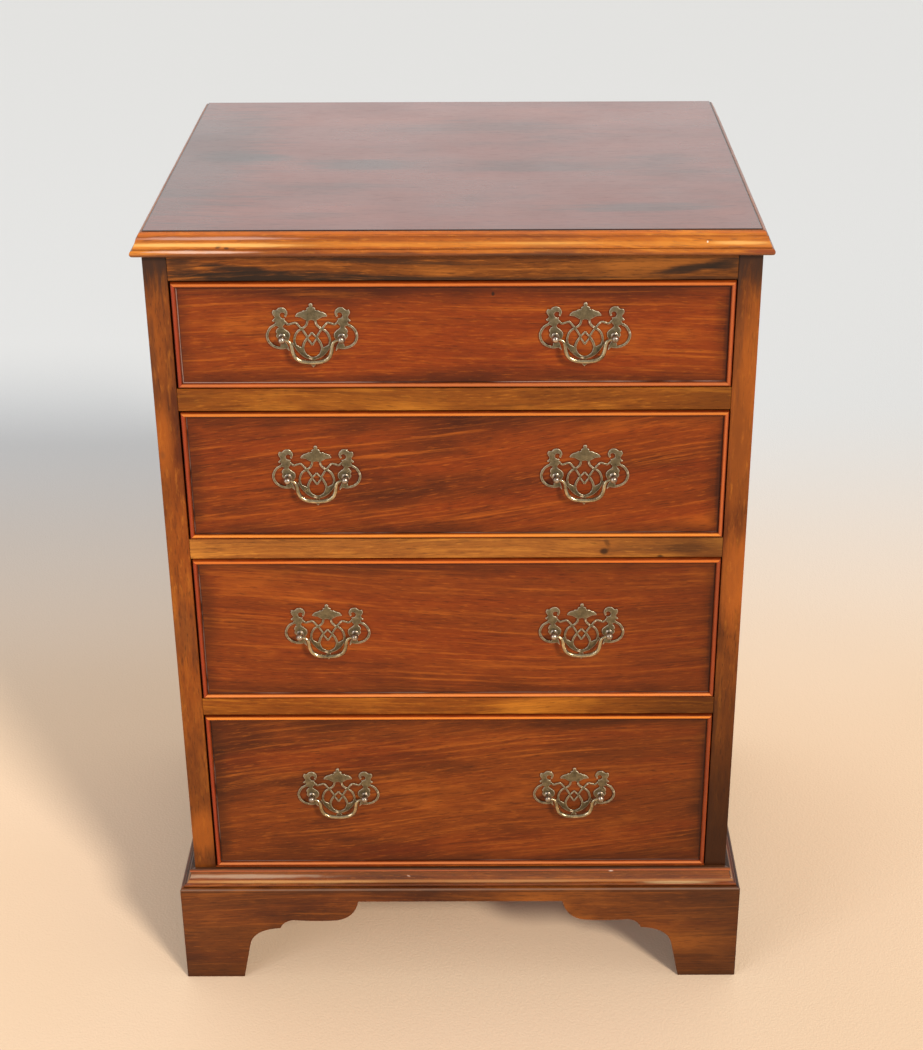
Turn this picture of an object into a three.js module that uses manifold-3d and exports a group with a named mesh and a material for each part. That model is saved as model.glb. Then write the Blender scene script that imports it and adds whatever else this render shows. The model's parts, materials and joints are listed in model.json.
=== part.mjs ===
// A chest of four graduated drawers on a bracket plinth, with pierced brass bail pulls.
// Millimetres, +Z up. The floor is z = 0, the front faces -Y, and x = 0 is the middle of the case.
import * as THREE from "three";
import { mergeVertices } from "three/addons/utils/BufferGeometryUtils.js";
import Module from "manifold-3d";

const wasm = await Module();
wasm.setup();

// Room left between pieces
const glueGap = 0.2;        // at a glued or nailed joint
const drawerGap = 1.3;      // above and below a drawer front
const sideGap = 1.5;        // at each end of a drawer front
const runningGap = 0.3;     // between a drawer side and its runner
const tailGap = 0.2;        // round each dovetail
const grooveGap = 0.3;      // round the edge of a drawer bottom
const overrun = 3;          // how far a cutter passes through what it cuts

// Case
const caseWidth = 514;
const caseDepth = 427;
const sideThickness = 20;
const bottomThickness = 17.6;
const topRailHeight = 22.5;
const railDepth = 60;
const runnerWidth = 22;
const backThickness = 6;
const rebateWidth = 10;
const rebateDepth = 8;

// Rails and drawer fronts, numbered from the top
const firstRailThickness = 20.4;
const secondRailThickness = 19.3;
const thirdRailThickness = 17.6;
const firstFrontHeight = 94;
const secondFrontHeight = 120.6;
const thirdFrontHeight = 143.1;
const fourthFrontHeight = 169.1;

// Edge of the top: ovolo, cove, quirk and half-round nose
const topThickness = 20.5;
const topEdgeSetback = 0.8;
const ovoloWidth = 4.4;
const ovoloDrop = 5.5;
const coveDrop = 4.2;
const quirkDrop = 2.2;
const noseReach = 8.5;

// Plinth and its moulding
const plinthHeight = 106.5;
const plinthProjection = 14;
const plinthThickness = 20;
const plinthArris = 2.5;
const bracketLength = 172;
const bracketHeight = 91;
const backFootWidth = 62;
const backFootSlope = 14;
const backCutHeight = 72;
const mouldingHeight = 16.6;
const lipReach = 10.5;
const lipHeight = 1.8;
const lipBevel = 0.7;
const scotiaRise = 10.6;
const filletReach = 4.6;
const filletSetback = 0.8;
const filletHeight = 2.8;

// Drawers
const frontThickness = 19;
const beadWidth = 3.5;
const beadProud = 2.5;
const beadDepth = 7;
const beadShoulder = 1;
const drawerShift = 0.4;
const drawerLength = 405;
const liningThickness = 10;
const liningDrop = 4;
const tailLength = 13;
const tailPitch = 32;
const tailWidth = 18;
const tailFlare = 2;
const drawerBottomThickness = 5;
const grooveRise = 8;
const grooveDepth = 5;
const backDrop = 5;

// Pulls, with each drawer's own spacing and place, as they were fitted by hand
const firstPullSpacing = 229.7;
const secondPullSpacing = 233.5;
const thirdPullSpacing = 230.5;
const fourthPullSpacing = 223.7;
const firstPullDrop = 1;
const secondPullDrop = 0.6;
const thirdPullDrop = 3.3;
const fourthPullDrop = 3.4;
const firstPullOffset = 4.5;
const secondPullOffset = 4.3;
const thirdPullOffset = 2.7;
const fourthPullOffset = 3.1;
const postSpacing = 50;
const plateThickness = 1.5;
const strandWidth = 1.6;
const ringWidth = 2;
const collarRadius = 4.3;
const collarThickness = 1.3;
const neckRadius = 2.3;
const ballRadius = 3.3;
const pivotStandOff = 6.5;
const shankRadius = 2;
const shankHoleRadius = 2.7;
const nutRadius = 4.6;
const nutThickness = 4;
const pinRadius = 1.1;
const pinHoleRadius = 1.6;
const pinReach = 1;
const bailDrop = 20;
const bailBowRadius = 1.9;

// Facets
const curveSteps = 4;
const postSides = 8;
const barSides = 6;
const barSteps = 18;

const quarterTurn = Math.PI / 2;
const quirkAngle = THREE.MathUtils.degToRad(50);

// Places worked out from the sizes
const caseFront = (plinthProjection - caseDepth) / 2;
const caseBack = caseFront + caseDepth;
const halfCase = caseWidth / 2;
const halfOpening = halfCase - sideThickness;
const boardHalf = halfOpening - glueGap;
const caseBase = plinthHeight + glueGap;
const rebateFace = caseBack - rebateDepth;
const plinthFront = caseFront - plinthProjection;
const plinthHalf = halfCase + plinthProjection;
const halfPosts = postSpacing / 2;

// Materials
function finish(color, roughness, metalness) {
  return new THREE.MeshStandardMaterial({ color, roughness, metalness });
}

const drawerMahogany = finish(0x7d3717, 0.32, 0);
const caseMahogany = finish(0x70421d, 0.35, 0);
const topMahogany = finish(0x683524, 0.25, 0);
const mouldingMahogany = finish(0x8f4f20, 0.3, 0);
const plinthMahogany = finish(0x63301a, 0.35, 0);
const lining = finish(0xb48a58, 0.7, 0);
const panel = finish(0xa9845a, 0.75, 0);
const brass = finish(0x6f6038, 0.38, 0.9);

// Local X, Y, Z of an outline drawn on the front: right, up, towards the viewer
const facingFront = new THREE.Matrix4().makeBasis(
  new THREE.Vector3(1, 0, 0),
  new THREE.Vector3(0, 0, 1),
  new THREE.Vector3(0, -1, 0),
);

// Local X, Y, Z of an outline drawn on the right side: back, up, to the right
const facingSide = new THREE.Matrix4().makeBasis(
  new THREE.Vector3(0, 1, 0),
  new THREE.Vector3(0, 0, 1),
  new THREE.Vector3(1, 0, 0),
);

function solidOf(geometry) {
  const bare = geometry.clone();
  bare.deleteAttribute("normal");
  bare.deleteAttribute("uv");
  const merged = mergeVertices(bare);
  return new wasm.Manifold(new wasm.Mesh({
    numProp: 3,
    vertProperties: new Float32Array(merged.attributes.position.array),
    triVerts: new Uint32Array(merged.index.array),
  }));
}

function geometryOf(solid) {
  const mesh = solid.getMesh();
  const geometry = new THREE.BufferGeometry();
  geometry.setAttribute("position", new THREE.BufferAttribute(new Float32Array(mesh.vertProperties), 3));
  geometry.setIndex(new THREE.BufferAttribute(new Uint32Array(mesh.triVerts), 1));
  geometry.computeVertexNormals();
  return geometry;
}

// A box between two corners
function block(left, right, front, back, base, top) {
  const geometry = new THREE.BoxGeometry(right - left, back - front, top - base);
  return geometry.translate((left + right) / 2, (front + back) / 2, (base + top) / 2);
}

// An upright prism on an outline drawn in plan
function upright(outline, base, top) {
  const shape = new THREE.Shape(outline);
  return new THREE.ExtrudeGeometry(shape, { depth: top - base, bevelEnabled: false }).translate(0, 0, base);
}

// A board drawn from the front, from the plane y = back to the plane y = front
function frontBoard(shape, front, back) {
  const geometry = new THREE.ExtrudeGeometry(shape, { depth: back - front, bevelEnabled: false });
  return geometry.applyMatrix4(facingFront).translate(0, back, 0);
}

// A board drawn from the side, from x = left to x = right
function sideBoard(shape, left, right) {
  const geometry = new THREE.ExtrudeGeometry(shape, { depth: right - left, bevelEnabled: false });
  return geometry.applyMatrix4(facingSide).translate(left, 0, 0);
}

// A closed block from rectangles one above the other, each with its own size and level
function stackedBlock(rings) {
  const positions = [];
  const cornerCount = 4;
  for (const { left, right, near, far, level } of rings) {
    positions.push(left, near, level, right, near, level);
    positions.push(right, far, level, left, far, level);
  }
  const faces = [0, 2, 1, 0, 3, 2];
  for (let ring = 1; ring < rings.length; ring += 1) {
    for (let corner = 0; corner < cornerCount; corner += 1) {
      const next = (corner + 1) % cornerCount;
      const low = (ring - 1) * cornerCount;
      const high = ring * cornerCount;
      faces.push(low + corner, low + next, high + next);
      faces.push(low + corner, high + next, high + corner);
    }
  }
  const last = (rings.length - 1) * cornerCount;
  faces.push(last, last + 1, last + 2, last, last + 2, last + 3);
  const geometry = new THREE.BufferGeometry();
  geometry.setAttribute("position", new THREE.Float32BufferAttribute(positions, 3));
  geometry.setIndex(faces);
  geometry.computeVertexNormals();
  return geometry;
}

// Points of an elliptical arc, from one angle to another
function arc(centreOut, centreUp, radiusOut, radiusUp, start, end, steps) {
  const points = [];
  for (let step = 0; step <= steps; step += 1) {
    const angle = start + (end - start) * step / steps;
    points.push([centreOut + radiusOut * Math.cos(angle), centreUp + radiusUp * Math.sin(angle)]);
  }
  return points;
}

// A slab whose profile runs round the front and both sides, and stays flush at the back
function mouldedSlab(profile) {
  return stackedBlock(profile.map(([out, level]) => ({
    left: -halfCase - out,
    right: halfCase + out,
    near: caseFront - out,
    far: caseBack,
    level,
  })));
}

const points = (pairs) => pairs.map(([x, y]) => new THREE.Vector2(x, y));
const mirrored = (outline) => outline.map(({ x, y }) => new THREE.Vector2(-x, y)).reverse();

const chest = new THREE.Group();

function addMesh(parent, name, geometry, material) {
  const mesh = new THREE.Mesh(geometry, material);
  mesh.name = name;
  parent.add(mesh);
  return mesh;
}

// Levels of the drawers and rails, from the bottom up
const rows = [];
let level = caseBase + bottomThickness;
for (const [number, height, railThickness, spacing, offset, drop] of [
  [4, fourthFrontHeight, thirdRailThickness, fourthPullSpacing, fourthPullOffset, fourthPullDrop],
  [3, thirdFrontHeight, secondRailThickness, thirdPullSpacing, thirdPullOffset, thirdPullDrop],
  [2, secondFrontHeight, firstRailThickness, secondPullSpacing, secondPullOffset, secondPullDrop],
  [1, firstFrontHeight, topRailHeight, firstPullSpacing, firstPullOffset, firstPullDrop],
]) {
  const base = level + drawerGap;
  const railBase = base + height + drawerGap;
  level = railBase + railThickness;
  const pullCentres = [-spacing / 2 - offset, spacing / 2 - offset];
  rows.push({ number, height, base, railBase, railTop: level, pullCentres, pullHeight: height / 2 - drop });
}
const caseTop = level;
const topBase = caseTop + glueGap;

// Case
function addTopBoard() {
  const noseRadius = (topThickness - ovoloDrop - coveDrop - quirkDrop) / (1 + Math.sin(quirkAngle));
  const noseCentre = noseReach - noseRadius;
  const coveFoot = noseCentre + noseRadius * Math.cos(quirkAngle);
  const coveTop = ovoloWidth - topEdgeSetback;
  const ovoloFoot = topBase + topThickness - ovoloDrop;
  const nose = arc(noseCentre, topBase + noseRadius, noseRadius, noseRadius, -quarterTurn, quirkAngle, 6);
  const coveWidth = coveFoot - coveTop;
  const cove = arc(coveFoot, ovoloFoot, coveWidth, coveDrop, -quarterTurn, -2 * quarterTurn, curveSteps);
  const ovolo = arc(-topEdgeSetback, ovoloFoot, ovoloWidth, ovoloDrop, 0, quarterTurn, curveSteps);
  addMesh(chest, "top_board", mouldedSlab([...nose, ...cove, ...ovolo.slice(1)]), topMahogany);
}

function addSide(name, side) {
  const outline = points([
    [side * halfOpening, caseFront],
    [side * halfCase, caseFront],
    [side * halfCase, caseBack],
    [side * (halfCase - sideThickness + rebateWidth), caseBack],
    [side * (halfCase - sideThickness + rebateWidth), rebateFace],
    [side * halfOpening, rebateFace],
  ]);
  addMesh(chest, name, upright(outline, caseBase, caseTop), caseMahogany);
}

function addRails() {
  for (const { number, railBase, railTop } of rows) {
    const name = number === 1 ? "top_rail_front" : `drawer_rail_${number - 1}`;
    const rail = block(-boardHalf, boardHalf, caseFront, caseFront + railDepth, railBase, railTop);
    addMesh(chest, name, rail, caseMahogany);
    if (number > 1) {
      const near = caseFront + railDepth + glueGap;
      const far = rebateFace - glueGap;
      const left = block(-boardHalf, runnerWidth - boardHalf, near, far, railBase, railTop);
      const right = block(boardHalf - runnerWidth, boardHalf, near, far, railBase, railTop);
      addMesh(chest, `runner_${number - 1}_left`, left, lining);
      addMesh(chest, `runner_${number - 1}_right`, right, lining);
    }
  }
  const back = rebateFace - glueGap;
  const backRail = block(-boardHalf, boardHalf, back - railDepth, back, caseTop - topRailHeight, caseTop);
  addMesh(chest, "top_rail_back", backRail, lining);
}

function addBottomAndBack() {
  const top = caseBase + bottomThickness;
  const bottom = block(-boardHalf, boardHalf, caseFront, rebateFace - glueGap, caseBase, top);
  addMesh(chest, "bottom_board", bottom, caseMahogany);
  const backHalf = halfOpening + rebateWidth - glueGap;
  const back = block(-backHalf, backHalf, rebateFace, rebateFace + backThickness, caseBase, caseTop);
  addMesh(chest, "back_panel", back, panel);
}

// Plan outlines that keep the front board, or one side board, up to its mitres
function frontMitre(inner) {
  const reach = plinthProjection + overrun;
  const outside = halfCase + reach - glueGap;
  const inside = halfCase - (inner - caseFront) - glueGap;
  return points([
    [-outside, caseFront - reach],
    [outside, caseFront - reach],
    [inside, inner],
    [-inside, inner],
  ]);
}

function sideMitre(side, inner, back) {
  const reach = plinthProjection + overrun;
  return points([
    [side * inner, caseFront + (halfCase - inner) + glueGap],
    [side * (halfCase + reach), caseFront - reach + glueGap],
    [side * (halfCase + reach), back],
    [side * inner, back],
  ]);
}

// The cut that leaves a shaped bracket at each end of a board of this length
const bracketShares = {
  footBase: [0.328, 0],
  footTop: [0.372, 0.418],
  firstBend: [0.387, 0.615],
  firstFlat: [0.523, 0.648],
  cusp: [0.552, 0.651],
  secondBend: [0.57, 0.747],
  secondFlat: [0.628, 0.758],
  dip: [0.756, 0.737],
  thirdFlat: [0.872, 0.753],
  thirdBend: [0.977, 0.78],
  edge: [1, 1],
};

function bracketCut(length) {
  const at = ([along, up]) => [along * bracketLength - length / 2, up * bracketHeight];
  const curve = new THREE.Path();
  curve.moveTo(...at(bracketShares.footBase));
  curve.lineTo(...at(bracketShares.footTop));
  curve.quadraticCurveTo(...at(bracketShares.firstBend), ...at(bracketShares.firstFlat));
  curve.lineTo(...at(bracketShares.cusp));
  curve.quadraticCurveTo(...at(bracketShares.secondBend), ...at(bracketShares.secondFlat));
  curve.quadraticCurveTo(...at(bracketShares.dip), ...at(bracketShares.thirdFlat));
  curve.quadraticCurveTo(...at(bracketShares.thirdBend), ...at(bracketShares.edge));
  const half = curve.getPoints(curveSteps);
  half.unshift(new THREE.Vector2(half[0].x, -overrun));
  return new THREE.Shape([...half, ...mirrored(half)]);
}

function addPlinth() {
  const arrisCentre = plinthProjection - plinthArris;
  const arrisLevel = plinthHeight - plinthArris;
  const arris = arc(arrisCentre, arrisLevel, plinthArris, plinthArris, 0, quarterTurn, curveSteps);
  const body = solidOf(mouldedSlab([[plinthProjection, 0], ...arris]));
  const inner = plinthHalf - plinthThickness;
  const centre = (plinthFront + caseBack) / 2;

  const frontBack = plinthFront + plinthThickness;
  const frontCut = frontBoard(bracketCut(2 * plinthHalf), plinthFront - overrun, frontBack + overrun);
  const frontPrism = upright(frontMitre(frontBack), -overrun, plinthHeight + overrun);
  const front = body.intersect(solidOf(frontPrism)).subtract(solidOf(frontCut));
  addMesh(chest, "plinth_front", geometryOf(front), plinthMahogany);

  for (const [name, side] of [["plinth_left", -1], ["plinth_right", 1]]) {
    const cutter = sideBoard(bracketCut(caseBack - plinthFront), inner - overrun, plinthHalf + overrun);
    const cut = cutter.translate(side < 0 ? -inner - plinthHalf : 0, centre, 0);
    const prism = upright(sideMitre(side, inner, caseBack + overrun), -overrun, plinthHeight + overrun);
    const board = body.intersect(solidOf(prism)).subtract(solidOf(cut));
    addMesh(chest, name, geometryOf(board), plinthMahogany);
  }

  const backHalf = inner - glueGap;
  const footFoot = backHalf - backFootWidth;
  const footNeck = footFoot - backFootSlope;
  const shape = new THREE.Shape(points([
    [-backHalf, 0],
    [-footFoot, 0],
    [-footNeck, backCutHeight],
    [footNeck, backCutHeight],
    [footFoot, 0],
    [backHalf, 0],
    [backHalf, plinthHeight],
    [-backHalf, plinthHeight],
  ]));
  addMesh(chest, "plinth_back", frontBoard(shape, caseBack - plinthThickness, caseBack), lining);
}

function addPlinthMoulding() {
  const base = caseBase;
  const scotiaFoot = base + lipHeight + lipBevel;
  const scotiaTop = scotiaFoot + scotiaRise;
  const scotiaWidth = lipReach - lipBevel - (filletReach - filletSetback);
  const scotia = arc(
    lipReach - lipBevel, scotiaTop, scotiaWidth, scotiaRise, -quarterTurn, -2 * quarterTurn, curveSteps + 1,
  );
  const profile = [
    [lipReach, base],
    [lipReach, base + lipHeight],
    ...scotia,
    [filletReach, scotiaTop],
    [filletReach, scotiaTop + filletHeight],
    [filletReach - filletSetback, base + mouldingHeight],
  ];
  const hollow = block(
    -halfCase - glueGap, halfCase + glueGap, caseFront - glueGap, caseBack + overrun, base - overrun, caseTop,
  );
  const body = solidOf(mouldedSlab(profile)).subtract(solidOf(hollow));
  const top = base + mouldingHeight + overrun;
  const frontPrism = upright(frontMitre(caseFront), base - overrun, top);
  addMesh(chest, "plinth_moulding_front", geometryOf(body.intersect(solidOf(frontPrism))), mouldingMahogany);
  for (const [name, side] of [["plinth_moulding_left", -1], ["plinth_moulding_right", 1]]) {
    const prism = upright(sideMitre(side, halfCase, caseBack + overrun), base - overrun, top);
    addMesh(chest, name, geometryOf(body.intersect(solidOf(prism))), mouldingMahogany);
  }
}

// Drawer sizes that every drawer shares, in the drawer's own frame:
// x = 0 its middle, y = 0 its front face, z = 0 the lower edge of its front
const halfFront = halfOpening - sideGap;
const sideOuter = halfFront - beadShoulder;
const sideInner = sideOuter - liningThickness;
const sideBase = runningGap - drawerGap;
const grooveBase = sideBase + grooveRise;
const grooveTop = grooveBase + drawerBottomThickness + 2 * grooveGap;
const panelTop = grooveTop - grooveGap;
const tailFront = frontThickness - tailLength;

// The dovetails of one corner, as pairs of levels at the root of each tail
function tailLevels(height) {
  const base = 0;
  const top = height - liningDrop;
  const count = Math.max(2, Math.round((top - base) / tailPitch));
  const pitch = (top - base) / count;
  const width = tailWidth * pitch / tailPitch;
  const levels = [];
  for (let tail = 0; tail < count; tail += 1) {
    const middle = base + pitch * (tail + 1 / 2);
    levels.push([middle - width / 2, middle + width / 2]);
  }
  return levels;
}

function addDrawerFront(drawer, { number, height, pullCentres, pullHeight }) {
  const beadRadius = beadWidth / 2;
  const crown = beadProud - beadRadius;
  const bead = arc(beadRadius, crown, -beadRadius, beadRadius, 0, 2 * quarterTurn, curveSteps + 1);
  const rings = [
    [beadShoulder, -frontThickness],
    [beadShoulder, -beadDepth],
    [0, -beadDepth],
    ...bead,
    [beadWidth, 0],
  ].map(([inset, out]) => ({
    left: inset - halfFront,
    right: halfFront - inset,
    near: inset,
    far: height - inset,
    level: out,
  }));
  let front = solidOf(stackedBlock(rings).applyMatrix4(facingFront));
  for (const [base, top] of tailLevels(height)) {
    const socket = new THREE.Shape(points([
      [tailFront - tailGap, base - tailFlare - tailGap],
      [frontThickness, base - tailGap],
      [frontThickness + overrun, base - tailGap],
      [frontThickness + overrun, top + tailGap],
      [frontThickness, top + tailGap],
      [tailFront - tailGap, top + tailFlare + tailGap],
    ]));
    front = front.subtract(solidOf(sideBoard(socket, sideInner - tailGap, halfFront + overrun)));
    front = front.subtract(solidOf(sideBoard(socket, -halfFront - overrun, tailGap - sideInner)));
  }
  const grooveHalf = sideInner + grooveDepth;
  const groove = block(
    -grooveHalf, grooveHalf, frontThickness - grooveDepth, frontThickness + overrun, grooveBase, grooveTop,
  );
  front = front.subtract(solidOf(groove));
  const holeLength = frontThickness + 2 * overrun;
  for (const centre of pullCentres) {
    for (const post of [-halfPosts, halfPosts]) {
      const hole = new THREE.CylinderGeometry(shankHoleRadius, shankHoleRadius, holeLength, postSides);
      hole.translate(centre + post, frontThickness / 2, pullHeight);
      front = front.subtract(solidOf(hole));
    }
  }
  addMesh(drawer, `drawer_${number}_front`, geometryOf(front), drawerMahogany);
}

function addDrawerSide(drawer, name, side, height) {
  const top = height - liningDrop;
  const outline = [[drawerLength, sideBase], [drawerLength, top], [frontThickness + tailGap, top]];
  for (const [low, high] of tailLevels(height).reverse()) {
    outline.push([frontThickness + tailGap, high]);
    outline.push([tailFront, high + tailFlare]);
    outline.push([tailFront, low - tailFlare]);
    outline.push([frontThickness + tailGap, low]);
  }
  outline.push([frontThickness + tailGap, sideBase]);
  const left = side < 0 ? -sideOuter : sideInner;
  const right = side < 0 ? -sideInner : sideOuter;
  const grooveLeft = side < 0 ? -sideInner - grooveDepth : sideInner - overrun;
  const grooveRight = side < 0 ? -sideInner + overrun : sideInner + grooveDepth;
  const groove = block(grooveLeft, grooveRight, 0, drawerLength + overrun, grooveBase, grooveTop);
  const board = solidOf(sideBoard(new THREE.Shape(points(outline)), left, right)).subtract(solidOf(groove));
  addMesh(drawer, name, geometryOf(board), lining);
}

function addDrawerBox(drawer, { number, height }) {
  addDrawerSide(drawer, `drawer_${number}_left_side`, -1, height);
  addDrawerSide(drawer, `drawer_${number}_right_side`, 1, height);
  const backHalf = sideInner - glueGap;
  const backBase = panelTop + glueGap;
  const backTop = height - liningDrop - backDrop;
  const back = block(-backHalf, backHalf, drawerLength - liningThickness, drawerLength, backBase, backTop);
  addMesh(drawer, `drawer_${number}_back`, back, lining);
  const panelHalf = sideInner + grooveDepth - grooveGap;
  const panelFront = frontThickness - grooveDepth + grooveGap;
  const bottom = block(-panelHalf, panelHalf, panelFront, drawerLength, grooveBase + grooveGap, panelTop);
  addMesh(drawer, `drawer_${number}_bottom`, bottom, panel);
}

// Outlines of the pierced plate, right half, from the pivot, as shares of half the post spacing
const crestShares = [
  [0, 1.2], [0.08, 1.15], [0.09, 1.08], [0.16, 1.01], [0.24, 0.95], [0.34, 0.94], [0.46, 0.87],
  [0.53, 0.79], [0.48, 0.71], [0.38, 0.66], [0.27, 0.61], [0.15, 0.59], [0, 0.61],
];
const neckShares = [
  [0.13, 0.62], [0.17, 0.44], [0.31, 0.31], [0.46, 0.22], [0.56, 0.07], [0.6, -0.13], [0.55, -0.34],
  [0.42, -0.54], [0.25, -0.7], [0, -0.79],
];
const armShares = [
  [0.92, 0.58], [0.79, 0.46], [0.66, 0.49], [0.53, 0.51], [0.41, 0.38], [0.28, 0.21], [0.15, -0.01],
];
const circleShares = [
  [0.15, -0.01], [0.27, -0.2], [0.32, -0.4], [0.26, -0.6], [0.12, -0.72], [0, -0.75],
];
const diamondShares = [
  [0, 0.16], [0.17, -0.03], [0, -0.28],
];
const birdShares = [
  [0.93, 1.08], [0.81, 0.93], [0.94, 0.96], [1.02, 0.78], [0.82, 0.5], [0.93, 0.37], [0.74, 0.15],
  [0.79, 0.03], [1, -0.12], [1.19, 0.05], [1.17, 0.29], [1.33, 0.59], [1.25, 0.68], [1.32, 0.94],
  [1.11, 1.1],
];
const ringShares = [
  [1.24, 0.43], [1.41, 0.29], [1.51, 0.13], [1.53, -0.04], [1.46, -0.2], [1.31, -0.33], [1.12, -0.36],
  [0.98, -0.2],
];
const leafShares = [
  [0.5, -0.34], [0.32, -0.4], [0.27, -0.58], [0.12, -0.73], [0.3, -0.69], [0.47, -0.52],
];
const tailShares = [
  [0.98, -0.12], [0.82, -0.29], [0.79, -0.49], [0.9, -0.34], [1.1, -0.33],
];
const dripShares = [
  [0, -0.74], [0.05, -0.82], [0.12, -0.92], [0.06, -0.98], [0, -1.08],
];

const scaled = (shares) => points(shares).map((point) => point.multiplyScalar(halfPosts));

// A strip of even width along a smooth line
function strip(line, width, steps) {
  const centre = steps ? new THREE.SplineCurve(line).getPoints(steps) : line;
  const left = [];
  const right = [];
  centre.forEach((point, index) => {
    const before = centre[Math.max(index - 1, 0)];
    const after = centre[Math.min(index + 1, centre.length - 1)];
    const along = after.clone().sub(before).normalize();
    const across = new THREE.Vector2(-along.y, along.x).multiplyScalar(width / 2);
    left.push(point.clone().add(across));
    right.push(point.clone().sub(across));
  });
  return [...left, ...right.reverse()];
}

function pierced(outline) {
  return solidOf(frontBoard(new THREE.Shape(outline), -glueGap - plateThickness, -glueGap));
}

function pullPlate() {
  const halves = [
    strip(scaled(neckShares), strandWidth, 7),
    strip(scaled(armShares), strandWidth, 5),
    strip(scaled(circleShares), strandWidth, 4),
    strip(scaled(ringShares), ringWidth, 6),
    scaled(birdShares),
    scaled(leafShares),
    scaled(tailShares),
  ];
  const crest = scaled(crestShares);
  const drip = scaled(dripShares);
  const diamond = scaled(diamondShares);
  const whole = [
    [...crest, ...mirrored(crest).slice(1, -1)],
    [...drip, ...mirrored(drip).slice(1, -1)],
    strip(diamond, strandWidth),
    strip(mirrored(diamond), strandWidth),
  ];
  for (const half of halves) {
    whole.push(half, mirrored(half));
  }
  return whole.map(pierced).reduce((plate, piece) => plate.add(piece));
}

// One post, turned about its own axis: nut, shank, collar, neck and ball
function pullPost() {
  const nutFace = frontThickness + glueGap;
  const plateFace = -glueGap - plateThickness;
  const ballCentre = plateFace - pivotStandOff;
  const neckAngle = Math.asin(neckRadius / ballRadius);
  const ball = arc(ballCentre, 0, ballRadius, ballRadius, neckAngle, 2 * quarterTurn, curveSteps);
  const profile = [
    [0, nutFace + nutThickness],
    [nutRadius, nutFace + nutThickness],
    [nutRadius, nutFace],
    [shankRadius, nutFace],
    [shankRadius, -glueGap],
    [collarRadius, -glueGap],
    [collarRadius, plateFace - collarThickness],
    [neckRadius, plateFace - collarThickness - (collarRadius - neckRadius) / 2],
    ...ball.slice(0, -1).map(([along, out]) => [out, along]),
    [0, ballCentre - ballRadius],
  ];
  return new THREE.LatheGeometry(points(profile).reverse(), postSides);
}

function pullPlateGeometry() {
  let plate = pullPlate();
  const pivot = -glueGap - plateThickness - pivotStandOff;
  const holeLength = ballRadius + overrun + pinReach + glueGap;
  for (const side of [-1, 1]) {
    const post = pullPost().translate(side * halfPosts, 0, 0);
    const hole = new THREE.CylinderGeometry(pinHoleRadius, pinHoleRadius, holeLength, postSides);
    const holeEnd = halfPosts + pinReach + glueGap;
    hole.rotateZ(quarterTurn).translate(side * (holeEnd - holeLength / 2), pivot, 0);
    plate = plate.add(solidOf(post)).subtract(solidOf(hole));
  }
  return geometryOf(plate);
}

// The bail's line from the right pin to the bow, as shares of half the post spacing and of its drop
const bailSpanShares = [0.89, 0.787, 0.713, 0.677, 0.661, 0.626, 0.547, 0.378, 0.189, 0];
const bailDropShares = [0.01, 0.059, 0.147, 0.284, 0.451, 0.627, 0.804, 0.941, 0.99, 1];
const bailRadiusShares = [0.6, 0.64, 0.68, 0.71, 0.76, 0.84, 0.92, 0.97, 1, 1];

function bailGeometry() {
  const half = [[halfPosts + pinReach, 0, pinRadius]];
  bailSpanShares.forEach((share, index) => {
    const drop = bailDropShares[index] * bailDrop;
    half.push([share * halfPosts, -drop, bailRadiusShares[index] * bailBowRadius]);
  });
  const nodes = [...half, ...half.slice(0, -1).reverse().map(([x, z, radius]) => [-x, z, radius])];
  const line = new THREE.CatmullRomCurve3(nodes.map(([x, z]) => new THREE.Vector3(x, 0, z)));
  const depthwise = new THREE.Vector3(0, 1, 0);
  const positions = [];
  for (let step = 0; step <= barSteps; step += 1) {
    const share = step / barSteps;
    const centre = line.getPoint(share);
    const across = line.getTangent(share).cross(depthwise).normalize();
    const place = share * (nodes.length - 1);
    const before = Math.min(Math.floor(place), nodes.length - 2);
    const radius = THREE.MathUtils.lerp(nodes[before][2], nodes[before + 1][2], place - before);
    for (let side = 0; side < barSides; side += 1) {
      const angle = 4 * quarterTurn * side / barSides;
      const point = centre.clone().addScaledVector(depthwise, radius * Math.cos(angle));
      point.addScaledVector(across, radius * Math.sin(angle));
      positions.push(point.x, point.y, point.z);
    }
  }
  const faces = [];
  for (let step = 0; step < barSteps; step += 1) {
    for (let side = 0; side < barSides; side += 1) {
      const next = (side + 1) % barSides;
      const low = step * barSides;
      const high = low + barSides;
      faces.push(low + side, low + next, high + next);
      faces.push(low + side, high + next, high + side);
    }
  }
  const last = barSteps * barSides;
  for (let side = 1; side < barSides - 1; side += 1) {
    faces.push(0, side + 1, side);
    faces.push(last, last + side, last + side + 1);
  }
  const geometry = new THREE.BufferGeometry();
  geometry.setAttribute("position", new THREE.Float32BufferAttribute(positions, 3));
  geometry.setIndex(faces);
  geometry.computeVertexNormals();
  return geometry;
}

const plateForm = pullPlateGeometry();
const bailForm = bailGeometry();

function addPulls(drawer, { number, pullCentres, pullHeight }) {
  for (const [hand, centre] of [["left", pullCentres[0]], ["right", pullCentres[1]]]) {
    const pull = new THREE.Group();
    pull.position.set(centre, 0, pullHeight);
    addMesh(pull, `pull_${number}_${hand}_plate`, plateForm, brass);
    const bail = addMesh(pull, `pull_${number}_${hand}_bail`, bailForm, brass);
    bail.position.y = -glueGap - plateThickness - pivotStandOff;
    drawer.add(pull);
  }
}

addTopBoard();
addSide("side_left", -1);
addSide("side_right", 1);
addRails();
addBottomAndBack();
addPlinth();
addPlinthMoulding();
for (const row of rows) {
  const drawer = new THREE.Group();
  drawer.position.set(drawerShift, caseFront, row.base);
  addDrawerFront(drawer, row);
  addDrawerBox(drawer, row);
  addPulls(drawer, row);
  chest.add(drawer);
}

export default chest;
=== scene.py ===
# A chest of four graduated drawers on a bracket plinth, dressed for a studio picture
import json
import math

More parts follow.
